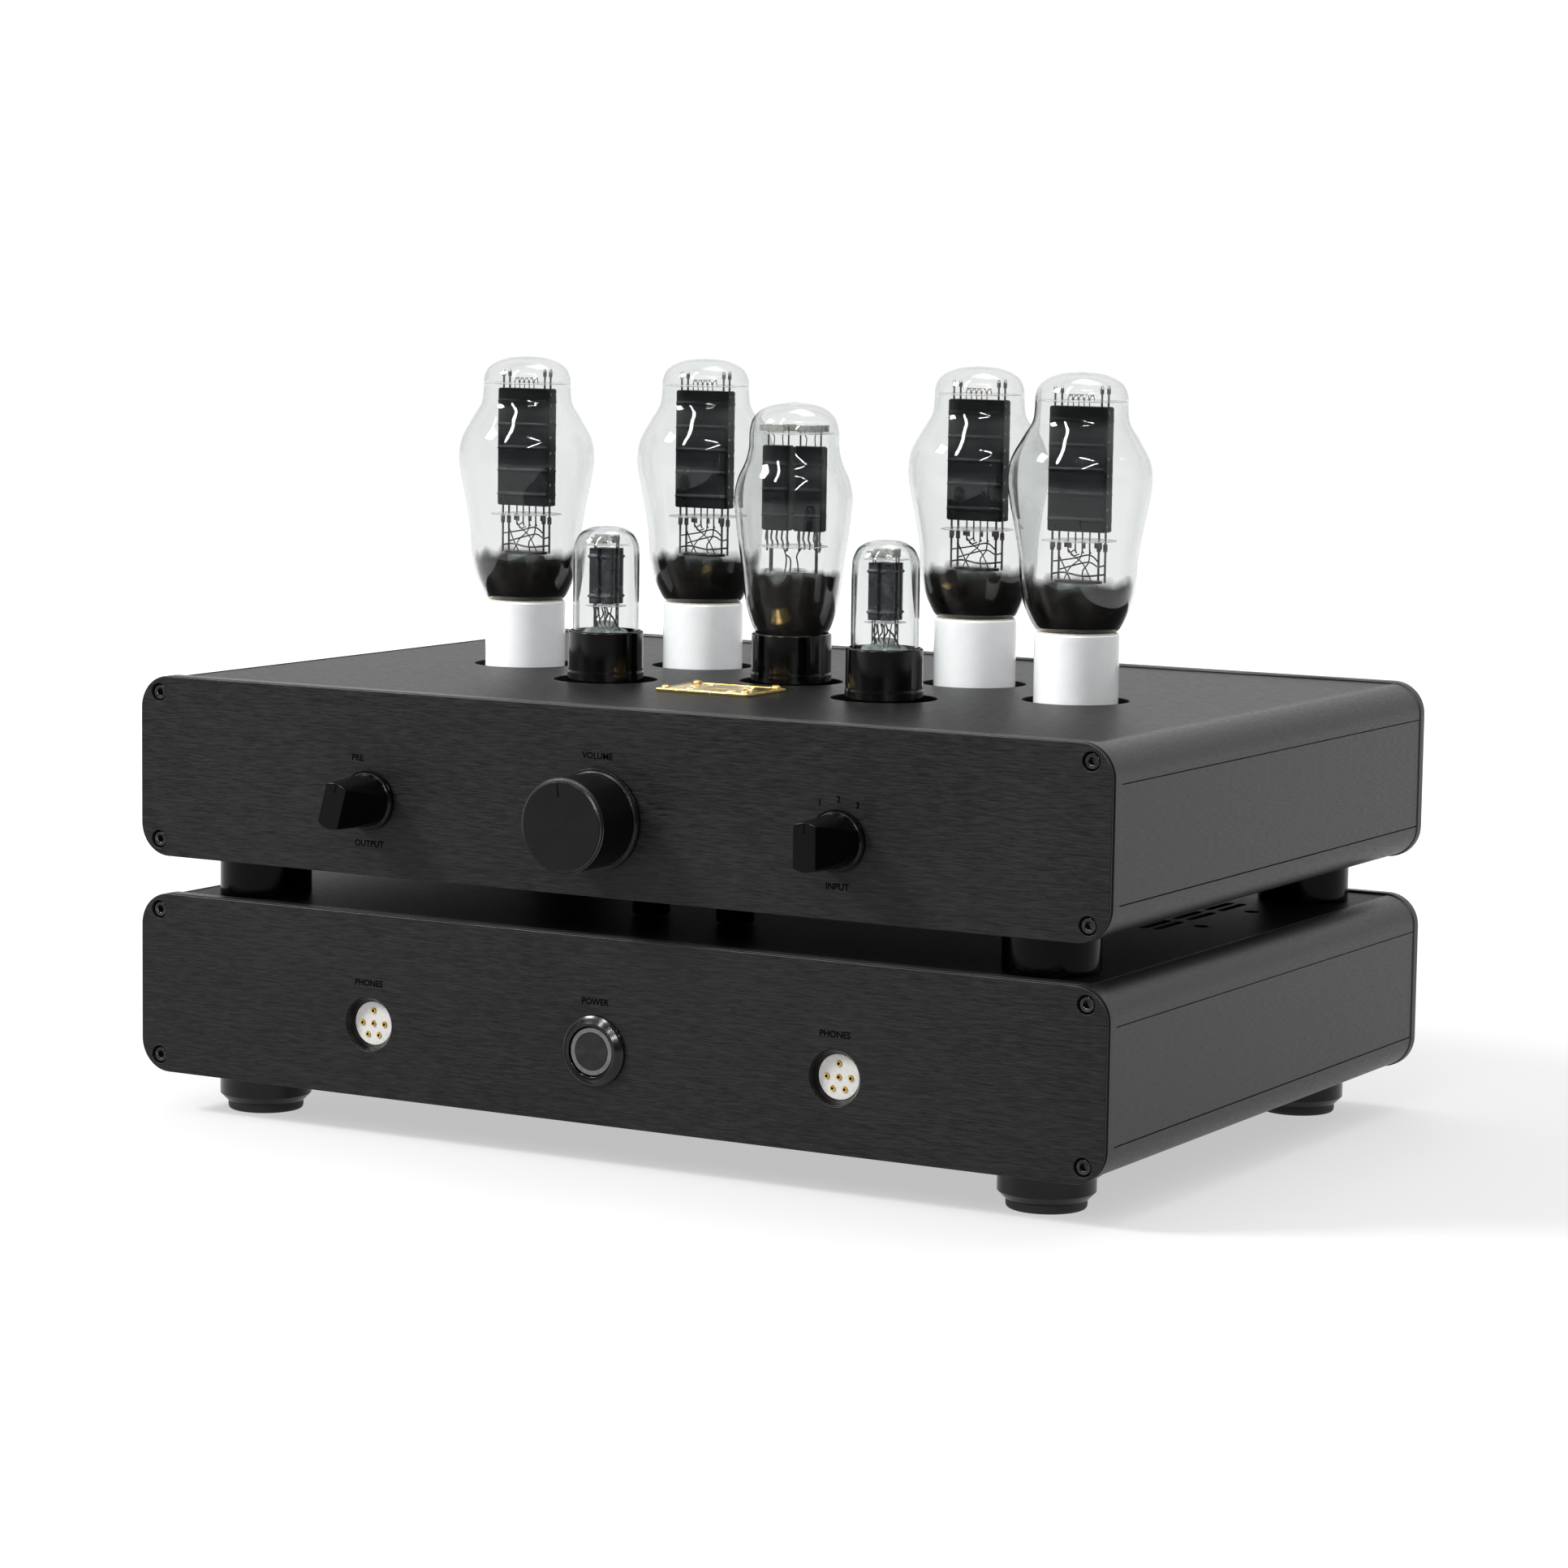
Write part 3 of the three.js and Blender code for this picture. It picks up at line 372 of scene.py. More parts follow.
def make_looks():
    along_x = (220, 2700, 2700)
    along_front = (150, 3400, 3400)
    along_y = (2700, 220, 2700)
    LOOKS.update(
        panel=brushed("front_panel_metal", "front_panel", 0x080808, 0x1f1f1f, along_front, 0.42,
                      specular=0.17, relief=0.005),
        deck=brushed("cover_metal", "cover", 0x040404, 0x1c1c1c, along_x, 0.42, specular=0.08,
                     relief=0.006),
        lower_deck=brushed("lower_cover_metal", "cover", 0x040404, 0x1a1a1a, along_x, 0.48,
                           specular=0.06, relief=0.006),
        side=brushed("side_metal", "side_metal", 0x0e0e0e, 0x1c1c1c, along_y, 0.42, specular=0.35,
                     relief=0.002),
        foot=turned_metal("foot_metal", "foot", 0x050505, 0x0a0a0a, 0.26, 2, specular=0.25),
        rubber=plain("rubber_pad", "foot", 0x080808, 0x0e0e0e, 0.62, relief=0.02),
        spacer=turned_metal("spacer_metal", "black_aluminium", 0x020202, 0x050505, 0.16, 2,
                            specular=0.08),
        bezel=turned_metal("bezel_metal", "black_aluminium", 0x060606, 0x0c0c0c, 0.2, 1,
                           specular=0.3),
        chamfer=turned_metal("chamfer_metal", "black_aluminium", 0x141414, 0x202020, 0.3, 1,
                             metallic=0.7, spun=0.7),
        knob=turned_metal("knob_metal", "knob", 0x070707, 0x0a0a0a, 0.28, 1, specular=0.16,
                          spun=0.6),
        knob_bar=plain("knob_bar_metal", "knob", 0x030303, 0x060606, 0.2, specular=0.09,
                       relief=0.002),
        button=turned_metal("button_metal", "button", 0x101010, 0x1c1c1c, 0.3, 1, metallic=0.5,
                            spun=0.85),
        ring=light_ring(),
        screw=plain("screw_steel", "black_aluminium", 0x242424, 0x3c3c3c, 0.16, relief=0.004,
                    metallic=0.8),
        # painted shade: near-black standing in for the shade in counterbores, wells and the panel
        # joint
        shadow=plain("painted_shade_black", "black_plastic", 0x050505, 0x080808, 0.8, specular=0.1),
        ceramic=plain("white_ceramic", "ceramic", 0xf2f3f5, 0xf8f9fa, 0.1, grain=180, relief=0.002,
                      spread=0.03),
        cement=plain("base_cement", "ceramic", 0x9a9080, 0xc4baa6, 0.8, relief=0.03),
        bakelite=plain("black_bakelite", "bakelite", 0x020202, 0x050505, 0.1, grain=300,
                       relief=0.002, spread=0.03, specular=0.3),
        glass=clear_glass(),
        power_mirror=getter_mirror("power_tube_mirror", 48.0, 2.8),
        rectifier_mirror=getter_mirror("rectifier_mirror", 45.6, 1.5),
        cut_edge=turned_metal("diamond_cut_edge", "knob", 0x3e3e3e, 0x545454, 0.11, 1,
                              metallic=0.9),
        mica=mica(),
        anode=plain("carbonised_nickel", "glass", 0x040607, 0x0a0d0f, 0.3, grain=260, relief=0.006,
                    spread=0.06, specular=0.1),
        driver_anode=plain("grey_nickel", "glass", 0x1c1f22, 0x303438, 0.28, grain=260, relief=0.01,
                           metallic=0.5),
        wire=plain("nickel_wire", "steel", 0x45423e, 0x74706a, 0.3, metallic=0.9),
        dark_wire=plain("dark_wire", "steel", 0x1c1a18, 0x38342e, 0.4, metallic=0.6),
        getter=plain("getter_metal", "steel", 0x6a6a68, 0xb0b0ac, 0.3, relief=0.03, metallic=0.9),
        stem=plain("stem_glass", "glass", 0x3a403e, 0x88908e, 0.06, grain=200, relief=0.05,
                   alpha=0.6),
        insulator=plain("white_insulator", "contact_insulator", 0xb4b3b0, 0xc2c1be, 0.4),
        gold=plain("gold_plating", "jack_metal", 0xb8923e, 0xe2bc6a, 0.22, metallic=1.0),
        brass=plain("polished_brass", "brass", 0xc4a45c, 0xe4cc90, 0.24, grain=300, metallic=1.0),
        # darker brass, used only for the nameplate screws' slots
        brass_dark=plain("darker_slot_brass", "brass", 0x6e5220, 0x94733a, 0.4, metallic=1.0),
        ink=plain("label_ink", "front_panel", 0x010101, 0x030303, 0.8, specular=0.02),
        plastic=plain("black_plastic", "black_plastic", 0x101010, 0x191919, 0.45),
        steel=plain("plated_steel", "steel", 0x7c7e80, 0xa2a4a6, 0.3, metallic=0.9),
        board=plain("circuit_board", "circuit_board", 0x10261a, 0x1a3a26, 0.45),
        copper=plain("lacquered_copper", "transformer", 0x5c2f14, 0x8c5228, 0.3, metallic=0.7),
        red=plain("red_plastic", "jack_metal", 0x7c1414, 0x9c2020, 0.35),
        white=plain("white_plastic", "jack_metal", 0xc8c8c6, 0xdededc, 0.35),
    )


# ---------------------------------------------------------------- shapes
# A shape is a list of vertices and a list of faces. It is drawn upright, and these turn its Z axis.

FORWARD = Matrix(((1, 0, 0, 0), (0, 0, -1, 0), (0, 1, 0, 0), (0, 0, 0, 1)))       # to -Y
REARWARD = Matrix(((-1, 0, 0, 0), (0, 0, 1, 0), (0, 1, 0, 0), (0, 0, 0, 1)))      # to +Y
SIDEWAYS = Matrix(((0, 0, 1, 0), (1, 0, 0, 0), (0, 1, 0, 0), (0, 0, 0, 1)))       # to +X


def moved(shape, matrix):
    vertices, faces = shape
    return [matrix @ Vector(v) for v in vertices], faces


def shifted(shape, x=0.0, y=0.0, z=0.0):
    return moved(shape, Matrix.Translation((x, y, z)))


def merged(shapes):
    vertices, faces = [], []
    for more_vertices, more_faces in shapes:
        start = len(vertices)
        vertices += more_vertices
        faces += [[start + i for i in face] for face in more_faces]
    return vertices, faces


def add_piece(name, shape, look, body=ROOT, place=(0, 0, 0), crease=32, instead_of=()):
    """Makes a shape into a piece that rides on a body and stands for the named CAD nodes."""
    vertices, faces = shape
    mesh = bpy.data.meshes.new(name)
    mesh.from_pydata([Vector(v) * MM for v in vertices], [], faces)
    mesh.update()
    mesh.shade_smooth()
    mesh.set_sharp_from_angle(angle=math.radians(crease))
    mesh.materials.append(LOOKS[look].material)
    piece = bpy.data.objects.new(name, mesh)
    piece.location = Vector(place) * MM
    scene.collection.objects.link(piece)
    piece.modifiers.new("normals", "WEIGHTED_NORMAL").keep_sharp = True
    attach(piece, body)
    if instead_of:
        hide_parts(*instead_of)


def pieces_at(prefix, place, direction=None, body=ROOT):
    """Gives a function that adds pieces at one place, their names starting with prefix."""
    def put(name, shape, look, **more):
        if direction is not None:
            shape = moved(shape, direction)
        add_piece(f"{prefix}_{name}", shape, look, body, place, **more)
    return put


def arc(cx, cy, radius, first, last, steps):
    angles = (math.radians(first + (last - first) * i / steps) for i in range(steps + 1))
    return [(cx + radius * math.cos(a), cy + radius * math.sin(a)) for a in angles]


def circle(radius, steps, cx=0.0, cy=0.0):
    return arc(cx, cy, radius, 0, 360, steps)[:-1]


def rectangle(width, height, cx=0.0, cy=0.0):
    x, y = width / 2, height / 2
    return [(cx + x, cy + y), (cx - x, cy + y), (cx - x, cy - y), (cx + x, cy - y)]


def rounded(points, radius, steps=4, closed=False):
    """The line with its corners rounded; an open line's ends stay."""
    result = []
    count = len(points)
    for i, point in enumerate(points):
        if not closed and i in (0, count - 1):
            result.append(tuple(point))
            continue
        corner = Vector(point)
        back = Vector(points[i - 1]) - corner
        ahead = Vector(points[(i + 1) % count]) - corner
        angle = back.angle(ahead)
        if angle > math.pi - 0.02:
            result.append(tuple(point))
            continue
        reach = min(radius / math.tan(angle / 2), 0.45 * back.length, 0.45 * ahead.length)
        start = corner + back.normalized() * reach
        end = corner + ahead.normalized() * reach
        for step in range(steps + 1):
            t = step / steps
            result.append(tuple(start * (1 - t) ** 2 + corner * (2 * t * (1 - t)) + end * t ** 2))
    return result


def soft_rectangle(width, height, corner, steps):
    return rounded(rectangle(width, height), corner, steps, True)


def smoothed(points, steps):
    """A Catmull-Rom curve through the points."""
    result = []
    last = len(points) - 1
    for i in range(last):
        a, b, c, d = (Vector(points[min(max(j, 0), last)]) for j in (i - 1, i, i + 1, i + 2))
        for step in range(steps):
            t = step / steps
            result.append(tuple(0.5 * (
                2 * b + (c - a) * t + (2 * a - 5 * b + 4 * c - d) * t ** 2
                + (3 * b - a - 3 * c + d) * t ** 3)))
    result.append(tuple(points[-1]))
    return result


def lathed(profile, steps):
    """Turns (radius, height) points about Z. The outside goes upwards."""
    vertices, faces, rings = [], [], []
    for radius, height in profile:
        if radius < 1e-4:
            rings.append([len(vertices)] * steps)
            vertices.append((0, 0, height))
            continue
        rings.append(list(range(len(vertices), len(vertices) + steps)))
        vertices += [(x, y, height) for x, y in circle(radius, steps)]
    for low, high in zip(rings, rings[1:]):
        for i in range(steps):
            j = (i + 1) % steps
            face = [low[i], low[j], high[j], high[i]]
            kept = [v for place, v in enumerate(face) if v not in face[:place]]
            if len(kept) > 2:
                faces.append(kept)
    return vertices, faces


def turned(profile, corner, corner_steps, steps):
    """A lathed shape whose profile has rounded corners."""
    return lathed(rounded(profile, corner, corner_steps), steps)


def offset(loop, distance):
    """A closed loop moved inwards, to its left, by distance."""
    result = []
    count = len(loop)
    for i in range(count):
        point = Vector(loop[i])
        before = (point - Vector(loop[i - 1])).normalized()
        after = (Vector(loop[(i + 1) % count]) - point).normalized()
        left = Vector((-before.y - after.y, before.x + after.x))
        left = left.normalized() / max(left.length / 2, 0.5)
        result.append(tuple(point + left * distance))
    return result


def slab(outline, low, high, edge, holes=(), steps=3, hole_edge=None):
    """A plate between two heights, with rounded edges on its outline and round its holes."""
    turns = [math.pi / 2 * i / steps for i in range(steps + 1)]
    vertices, faces, low_loops, high_loops, low_ids, high_ids = [], [], [], [], [], []
    for loop in [outline, *[list(reversed(hole)) for hole in holes]]:
        count = len(loop)
        ids = []
        radius = edge if loop is outline or hole_edge is None else hole_edge
        corner = [(radius * (1 - math.sin(a)), radius * (1 - math.cos(a))) for a in turns]
        rings = [(inset, low + rise) for inset, rise in corner]
        rings += [(inset, high - rise) for inset, rise in reversed(corner)]
        for inset, height in rings:
            ids.append(range(len(vertices), len(vertices) + count))
            vertices += [(x, y, height) for x, y in offset(loop, inset)]
        for lower, upper in zip(ids, ids[1:]):
            for i in range(count):
                j = (i + 1) % count
                faces.append([lower[i], lower[j], upper[j], upper[i]])
        for loops, cap_ids, cap in ((low_loops, low_ids, ids[0]), (high_loops, high_ids, ids[-1])):
            loops.append([Vector(vertices[i]) for i in cap])
            cap_ids += cap
    faces += [[high_ids[i] for i in tri] for tri in facing(high_loops, 1)]
    faces += [[low_ids[i] for i in tri] for tri in facing(low_loops, -1)]
    return vertices, faces


def facing(loops, side):
    """Triangles that fill flat loops, turned to face up or down."""
    points = [p for loop in loops for p in loop]
    for tri in geometry.tessellate_polygon(loops):
        a, b, c = (points[i] for i in tri)
        area = (b - a).cross(c - a).z
        if abs(area) > 1e-12:
            yield tri if area * side > 0 else tuple(reversed(tri))


def stacked(vertices, count):
    """Joins rings of count vertices, one after another, and closes both ends."""
    faces = []
    for a in range(0, len(vertices) - count, count):
        b = a + count
        for i in range(count):
            j = (i + 1) % count
            faces.append([a + i, a + j, b + j, b + i])
    faces.append(list(reversed(range(count))))
    faces.append(list(range(len(vertices) - count, len(vertices))))
    return vertices, faces


def wire(points, radius, curve=6):
    """A round wire along points, smoothed where it bends, with closed ends."""
    path = [Vector(p) for p in (smoothed(points, curve) if len(points) > 2 else points)]
    sides = 8
    vertices = []
    side = None
    for i, point in enumerate(path):
        along = (path[min(i + 1, len(path) - 1)] - path[max(i - 1, 0)]).normalized()
        if side is None:
            side = along.orthogonal().normalized()
        side = (side - along * side.dot(along)).normalized()
        other = along.cross(side)
        vertices += [point + (side * x + other * y) for x, y in circle(radius, sides)]
    return stacked(vertices, sides)


def lettering(text, height):
    """Flat raised letters in the X and Y plane, centred, a few hundredths of a millimetre thick."""
    data = bpy.data.curves.new(text, "FONT")
    data.body = text
    capital = 0.7                    # height of a capital letter, to a font size of 1
    data.size = height / capital
    data.align_x = "CENTER"
    data.align_y = "CENTER"
    data.extrude = 0.02
    data.offset = 0.09
    data.resolution_u = 3
    letters = bpy.data.objects.new(text, data)
    mesh = bpy.data.meshes.new_from_object(letters)
    shape = ([v.co.copy() for v in mesh.vertices], [list(f.vertices) for f in mesh.polygons])
    bpy.data.objects.remove(letters)
    bpy.data.curves.remove(data)
    bpy.data.meshes.remove(mesh)
    return shape


# ---------------------------------------------------------------- places, from the CAD part

def box(node):
    low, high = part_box(node)
    return low / MM, high / MM


PANEL_CORNER = 14
SEAM = 0.35
PANEL_LOW, PANEL_HIGH = box("upper_front_panel")
HALF_WIDTH = PANEL_HIGH.x
FRONT_Y = PANEL_LOW.y
REAR_Y = box("upper_rear_panel")[1].y
INSIDE_Y = (box("upper_side_plate_left")[0].y, box("upper_side_plate_left")[1].y)
DECK_Z = box("upper_top_plate")[1].z


def centre(node):
    low, high = box(node)
    return (low + high) / 2


KNOB_Z = centre("volume_knob").z
SOCKET_Z = centre("power_button").z
SELECTOR_X = centre("input_selector_knob").x


# ---------------------------------------------------------------- chassis

SCREW_BORE = 3.85
FACE_THICKNESS, JOINT_BACK = 1.2, 2.9     # depths behind the front, to the joint and to its back


def screw_places(low, high):
    """Four (x, z) places near a panel's corners."""
    inset_x, inset_z = 9.3, 7.1
    return [(side * (HALF_WIDTH - inset_x), z) for side in (-1, 1)
            for z in (low.z + inset_z, high.z - inset_z)]


def socket_screw(name, place, direction):
    """Hexagon socket cap screw in its counterbore; direction FORWARD or REARWARD."""
    head_radius, key_radius = 3.25, 1.62
    head = slab(rounded(circle(head_radius, 40), 0.1, 1, True), -4.2, -0.9, 0.45,
                [circle(key_radius, 6)])
    bottom = lathed([(0, -3.2), (3, -3.2), (3, -3.0), (0, -3.0)], 24)
    add_piece(name, moved(merged([head, bottom]), direction), "screw", place=place)
    # A near-black disc at the bottom of the counterbore: painted shade.
    recess = lathed([(0, -4.6), (SCREW_BORE + 0.3, -4.6), (SCREW_BORE + 0.3, -4.3), (0, -4.3)], 32)
    add_piece(f"{name}_recess", moved(recess, direction), "shadow", place=place)


def rounded_panel(low, high):
    radius = PANEL_CORNER
    width, height = high.x - low.x, high.z - low.z
    middle = (low.z + high.z) / 2
    x, z = width / 2 - radius, height / 2 - radius
    corners = ((x, z, 0), (-x, z, 90), (-x, -z, 180), (x, -z, 270))
    return [p for cx, cz, turn in corners
            for p in arc(cx, middle + cz, radius, turn, turn + 90, 14)]


def make_front_panel(node, holes):
    """The brushed face, a groove set back behind its edge in painted shade, and the frame strip
    behind that.
    """
    low, high = box(node)
    put = pieces_at(node, (0, 0, 0), FORWARD)
    screws = screw_places(low, high)
    bores = [circle(SCREW_BORE, 32, x, z) for x, z in screws]
    outline, openings = rounded_panel(low, high), [*holes, *bores]
    face, joint = -low.y - FACE_THICKNESS, -low.y - JOINT_BACK
    put("metal", slab(outline, face, -low.y, 0.5, openings, 4, 0.25), "panel", instead_of=[node])
    # The groove is near-black: painted shade for the joint between face and frame.
    put("groove", slab(offset(outline, 0.3), joint, face, 0.05, openings, 1), "shadow")
    put("frame", slab(outline, -high.y, joint, 0.2, openings, 2), "side")
    for number, (x, z) in enumerate(screws):
        socket_screw(f"{node}_screw_{number}", (x, low.y, z), FORWARD)


def make_rear_panel(node, holes):
    low, high = box(node)
    screws = screw_places(low, high)
    bores = [circle(SCREW_BORE, 32, -x, z) for x, z in screws]
    shape = slab(rounded_panel(low, high), low.y, high.y, 0.7, [*holes, *bores], 3, 0.25)
    add_piece(f"{node}_metal", moved(shape, REARWARD), "side", instead_of=[node])
    for number, (x, z) in enumerate(screws):
        socket_screw(f"{node}_screw_{number}", (x, high.y, z), REARWARD)


def make_cover(node, holes, look="deck"):
    low, high = box(node)
    shape = slab(rectangle(high.x - low.x, high.y - low.y, 0, (low.y + high.y) / 2),
                 low.z, high.z, 0.35, holes)
    add_piece(f"{node}_metal", shape, look, instead_of=[node])


def make_side(prefix):
    """Side plates and the rounded corner rails over and under them."""
    front, rear = INSIDE_Y
    for side_name, side in (("left", -1), ("right", 1)):
        node = f"{prefix}_side_plate_{side_name}"
        low, high = box(node)
        plate = slab(
            rectangle(rear - front, high.z - low.z, (front + rear) / 2, (low.z + high.z) / 2),
            low.x, high.x, 0.3)
        add_piece(f"{node}_metal", moved(plate, SIDEWAYS), "side", instead_of=[node])
        for edge in ("top", "bottom"):
            rail = f"{prefix}_rail_{edge}_{side_name}"
            rail_low, rail_high = box(rail)
            outer = max(abs(rail_low.x), abs(rail_high.x))
            inner = box(f"{prefix}_top_plate")[1].x + SEAM
            seam = (high.z if edge == "top" else -low.z) + SEAM
            crown = rail_high.z if edge == "top" else -rail_low.z
            radius = min(PANEL_CORNER - 1, crown - seam - 0.3)
            outline = [
                (outer, seam), *arc(outer - radius, crown - radius, radius, 0, 88, 20),
                (inner, crown), (inner, crown - 3), (outer - 6, crown - 6), (outer - 3, seam)]
            flip = 1 if edge == "top" else -1
            outline = [(side * x, flip * z) for x, z in outline]
            if side * flip < 0:
                outline.reverse()
            shape = slab(outline, -rear, -front, 0.2, steps=2)
            add_piece(f"{rail}_metal", moved(shape, FORWARD), "side", instead_of=[rail])


def vent_holes():
    """Three rows of slots and two round holes on each side of the lower cover."""
    first_x, first_y = 175.5, FRONT_Y + 171.5
    row_pitch, slot_pitch = 6, 32.2
    slot_radius, slot_reach = 1.7, 11.3
    holes = []
    for side in (-1, 1):
        for row in range(3):
            for slot in range(3):
                x, y = side * (first_x - row_pitch * row), first_y + slot_pitch * slot
                holes.append(arc(x, y + slot_reach, slot_radius, 0, 180, 8)
                             + arc(x, y - slot_reach, slot_radius, 180, 360, 8))
        for y in (177.2, 229):
            holes.append(circle(3.2, 24, side * 187.8, FRONT_Y + y))
    return holes


TUBE_NODES = ["power_tube_1", "power_tube_2", "power_tube_3", "power_tube_4",
              "rectifier_tube", "driver_tube_left", "driver_tube_right"]
TUBE_HOLE = 22.5


def make_chassis():
    make_front_panel("upper_front_panel", [
        circle(5.1, 32, x, KNOB_Z) for x in (-SELECTOR_X, 0, SELECTOR_X)])
    make_front_panel("lower_front_panel", [
        circle(11.5, 64, -SELECTOR_X, SOCKET_Z), circle(12.3, 64, 0, SOCKET_Z),
        circle(11.5, 64, SELECTOR_X, SOCKET_Z)])
    inlet, jacks = centre("mains_inlet"), centre("signal_jack_panel")
    make_rear_panel("lower_rear_panel", [rectangle(30.6, 24.6, -inlet.x, inlet.z)])
    make_rear_panel("upper_rear_panel", [rectangle(128, 32, -jacks.x, jacks.z)])
    make_cover("lower_top_plate", vent_holes(), "lower_deck")
    make_cover("upper_top_plate", [
        circle(TUBE_HOLE, 72, *centre(f"{node}_base").xy) for node in TUBE_NODES])
    make_cover("lower_bottom_plate", [])
    make_cover("upper_bottom_plate", [])
    make_side("lower")
    make_side("upper")


def make_supports():
    for corner in ("front_left", "front_right", "rear_left", "rear_right"):
        foot, spacer = f"foot_{corner}", f"spacer_{corner}"
        low, high = box(foot)
        radius = (high.x - low.x) / 2
        place = (*centre(foot).xy, 0)
        body = rounded([(0, 3.6), (16.3, 3.6), (radius, 7), (radius, high.z), (0, high.z)], 0.4)
        add_piece(f"{foot}_body", lathed(body, 72), "foot", place=place, instead_of=[foot])
        pad = [(0, 0), *rounded([(12.2, 0), (16.2, 0), (16.2, 4.2)], 3.8, 8), (0, 4.2)]
        add_piece(f"{foot}_pad", lathed(pad, 72), "rubber", place=place)
        low, high = box(spacer)
        tube = rounded([(0, low.z), (radius, low.z), (radius, high.z), (0, high.z)], 0.4)
        add_piece(f"{spacer}_body", lathed(tube, 72), "spacer", place=place, instead_of=[spacer])
    for bush in ("harness_bush_left", "harness_bush_right"):
        low, high = box(bush)
        length = high.z - low.z
        profile = rounded([
            (0, low.z), (8, low.z), (8, low.z + 0.35 * length), (6.6, low.z + 0.4 * length),
            (6.6, high.z - 0.4 * length), (8, high.z - 0.35 * length), (8, high.z),
            (0, high.z)], 0.4)
        add_piece(f"{bush}_body", lathed(profile, 48), "spacer", place=(*centre(bush).xy, 0),
                  instead_of=[bush])


# ---------------------------------------------------------------- controls

POINTER_RELIEF = 0.06
KNOB_REACH = FRONT_Y - box("volume_knob")[0].y - POINTER_RELIEF
KNOB_RECESS = 8                      # depth to which a knob's back is hollow, round bushing and nut
SHAFT_RADIUS, SHAFT_BACK = 3, -20
VOLUME_ANGLE = -6                    # where the volume knob stands, in degrees right of the top
SELECTOR_ANGLES = {"output_selector_knob": 15, "input_selector_knob": 0}


def pointer_line(rim, length, height):
    """A very thin raised line on a knob's face, from near its rim inwards."""
    line = slab(rectangle(0.55, length, 0, rim - length / 2), 0, POINTER_RELIEF, 0.02)
    return shifted(line, z=height)


def bright_edge(radius, height):
    """Outline of a fine bright-cut band round a knob's edge."""
    return [(radius + x, height + y) for x, y in (
        (0, -0.12), (0.2, -0.16), (0.26, 0), (0.16, 0.14), (0, 0.12), (0, -0.12))]


def make_volume_knob():
    turn = Matrix.Rotation(math.radians(VOLUME_ANGLE), 4, "Y") @ FORWARD
    put = pieces_at("volume_knob", (0, FRONT_Y, KNOB_Z), turn, "volume_knob")
    body = rounded([
        (0, SHAFT_BACK), (SHAFT_RADIUS, SHAFT_BACK), (SHAFT_RADIUS, KNOB_RECESS), (9, KNOB_RECESS),
        (9, 0.3), (20.9, 0.3), (20.9, 1.9), (19.9, 2.0), (19.9, 2.5), (19.3, 2.9),
        (19.3, KNOB_REACH - 1.5), (18.5, KNOB_REACH - 1.15), (18.5, KNOB_REACH - 0.75),
        (17.8, KNOB_REACH), (0, KNOB_REACH)], 0.22, 3)
    put("body", lathed(body, 128), "knob", instead_of=["volume_knob"])
    rings = [
        bright_edge(19.15, KNOB_REACH - 1.5), bright_edge(18.35, KNOB_REACH - 0.72),
        bright_edge(19.8, 2.15)]
    put("cut_edges", merged([lathed(ring, 128) for ring in rings]), "cut_edge")
    put("pointer", pointer_line(16.9, 5.2, KNOB_REACH), "ink")


def selector_shape():
    """A cone-sided knob: round at the panel, with two flats that close in to a bar at the face."""
    face_half, face_radius = 5.1, 9.8
    base_radius, base_half = 11.0, 10.3
    start = 2.6
    edge = 0.45
    sections = []
    for step in range(9):
        t = step / 8
        sections.append((start + (KNOB_REACH - edge - start) * t,
                         base_radius + (face_radius - base_radius) * t,
                         base_half + (face_half - base_half) * t))
    for step in range(1, 5):
        angle = math.pi / 2 * step / 4
        inset = edge * (1 - math.cos(angle))
        sections.append((KNOB_REACH - edge + edge * math.sin(angle),
                         face_radius - inset, face_half - inset))
    flat_steps, round_steps = 10, 26
    count = 2 * (flat_steps + round_steps)
    vertices = []
    for height, radius, half in sections:
        corner = math.degrees(math.acos(half / radius))
        rise = radius * math.sin(math.radians(corner))
        for side in (1, -1):
            vertices += [(side * half, side * rise * (2 * i / flat_steps - 1), height)
                         for i in range(flat_steps)]
            vertices += [(side * x, side * y, height)
                         for x, y in arc(0, 0, radius, corner, 180 - corner, round_steps)[:-1]]
    hollow = 6.8
    lining = [Vector(v[:2]).normalized() * hollow for v in vertices[:count]]
    vertices = [(x, y, height) for height in (KNOB_RECESS, start) for x, y in lining] + vertices
    skirt = turned([(hollow, 0.3), (12.5, 0.3), (12.5, 2.0), (11.4, 2.2), (11.0, 2.7),
                    (hollow, 2.7), (hollow, 0.3)], 0.2, 3, 96)
    top = KNOB_RECESS + 0.2
    shaft = lathed([(0, SHAFT_BACK), (SHAFT_RADIUS, SHAFT_BACK), (SHAFT_RADIUS, top), (0, top)], 48)
    return merged([stacked(vertices, count), skirt, shaft])


def make_selectors():
    for node, angle in SELECTOR_ANGLES.items():
        turn = Matrix.Rotation(math.radians(angle), 4, "Y") @ FORWARD
        put = pieces_at(node, (centre(node).x, FRONT_Y, KNOB_Z), turn, node)
        put("body", selector_shape(), "knob_bar", crease=28, instead_of=[node])
        put("cut_edge", lathed(bright_edge(11.3, 2.3), 96), "cut_edge")
        put("pointer", pointer_line(9.3, 3.6, KNOB_REACH), "ink")


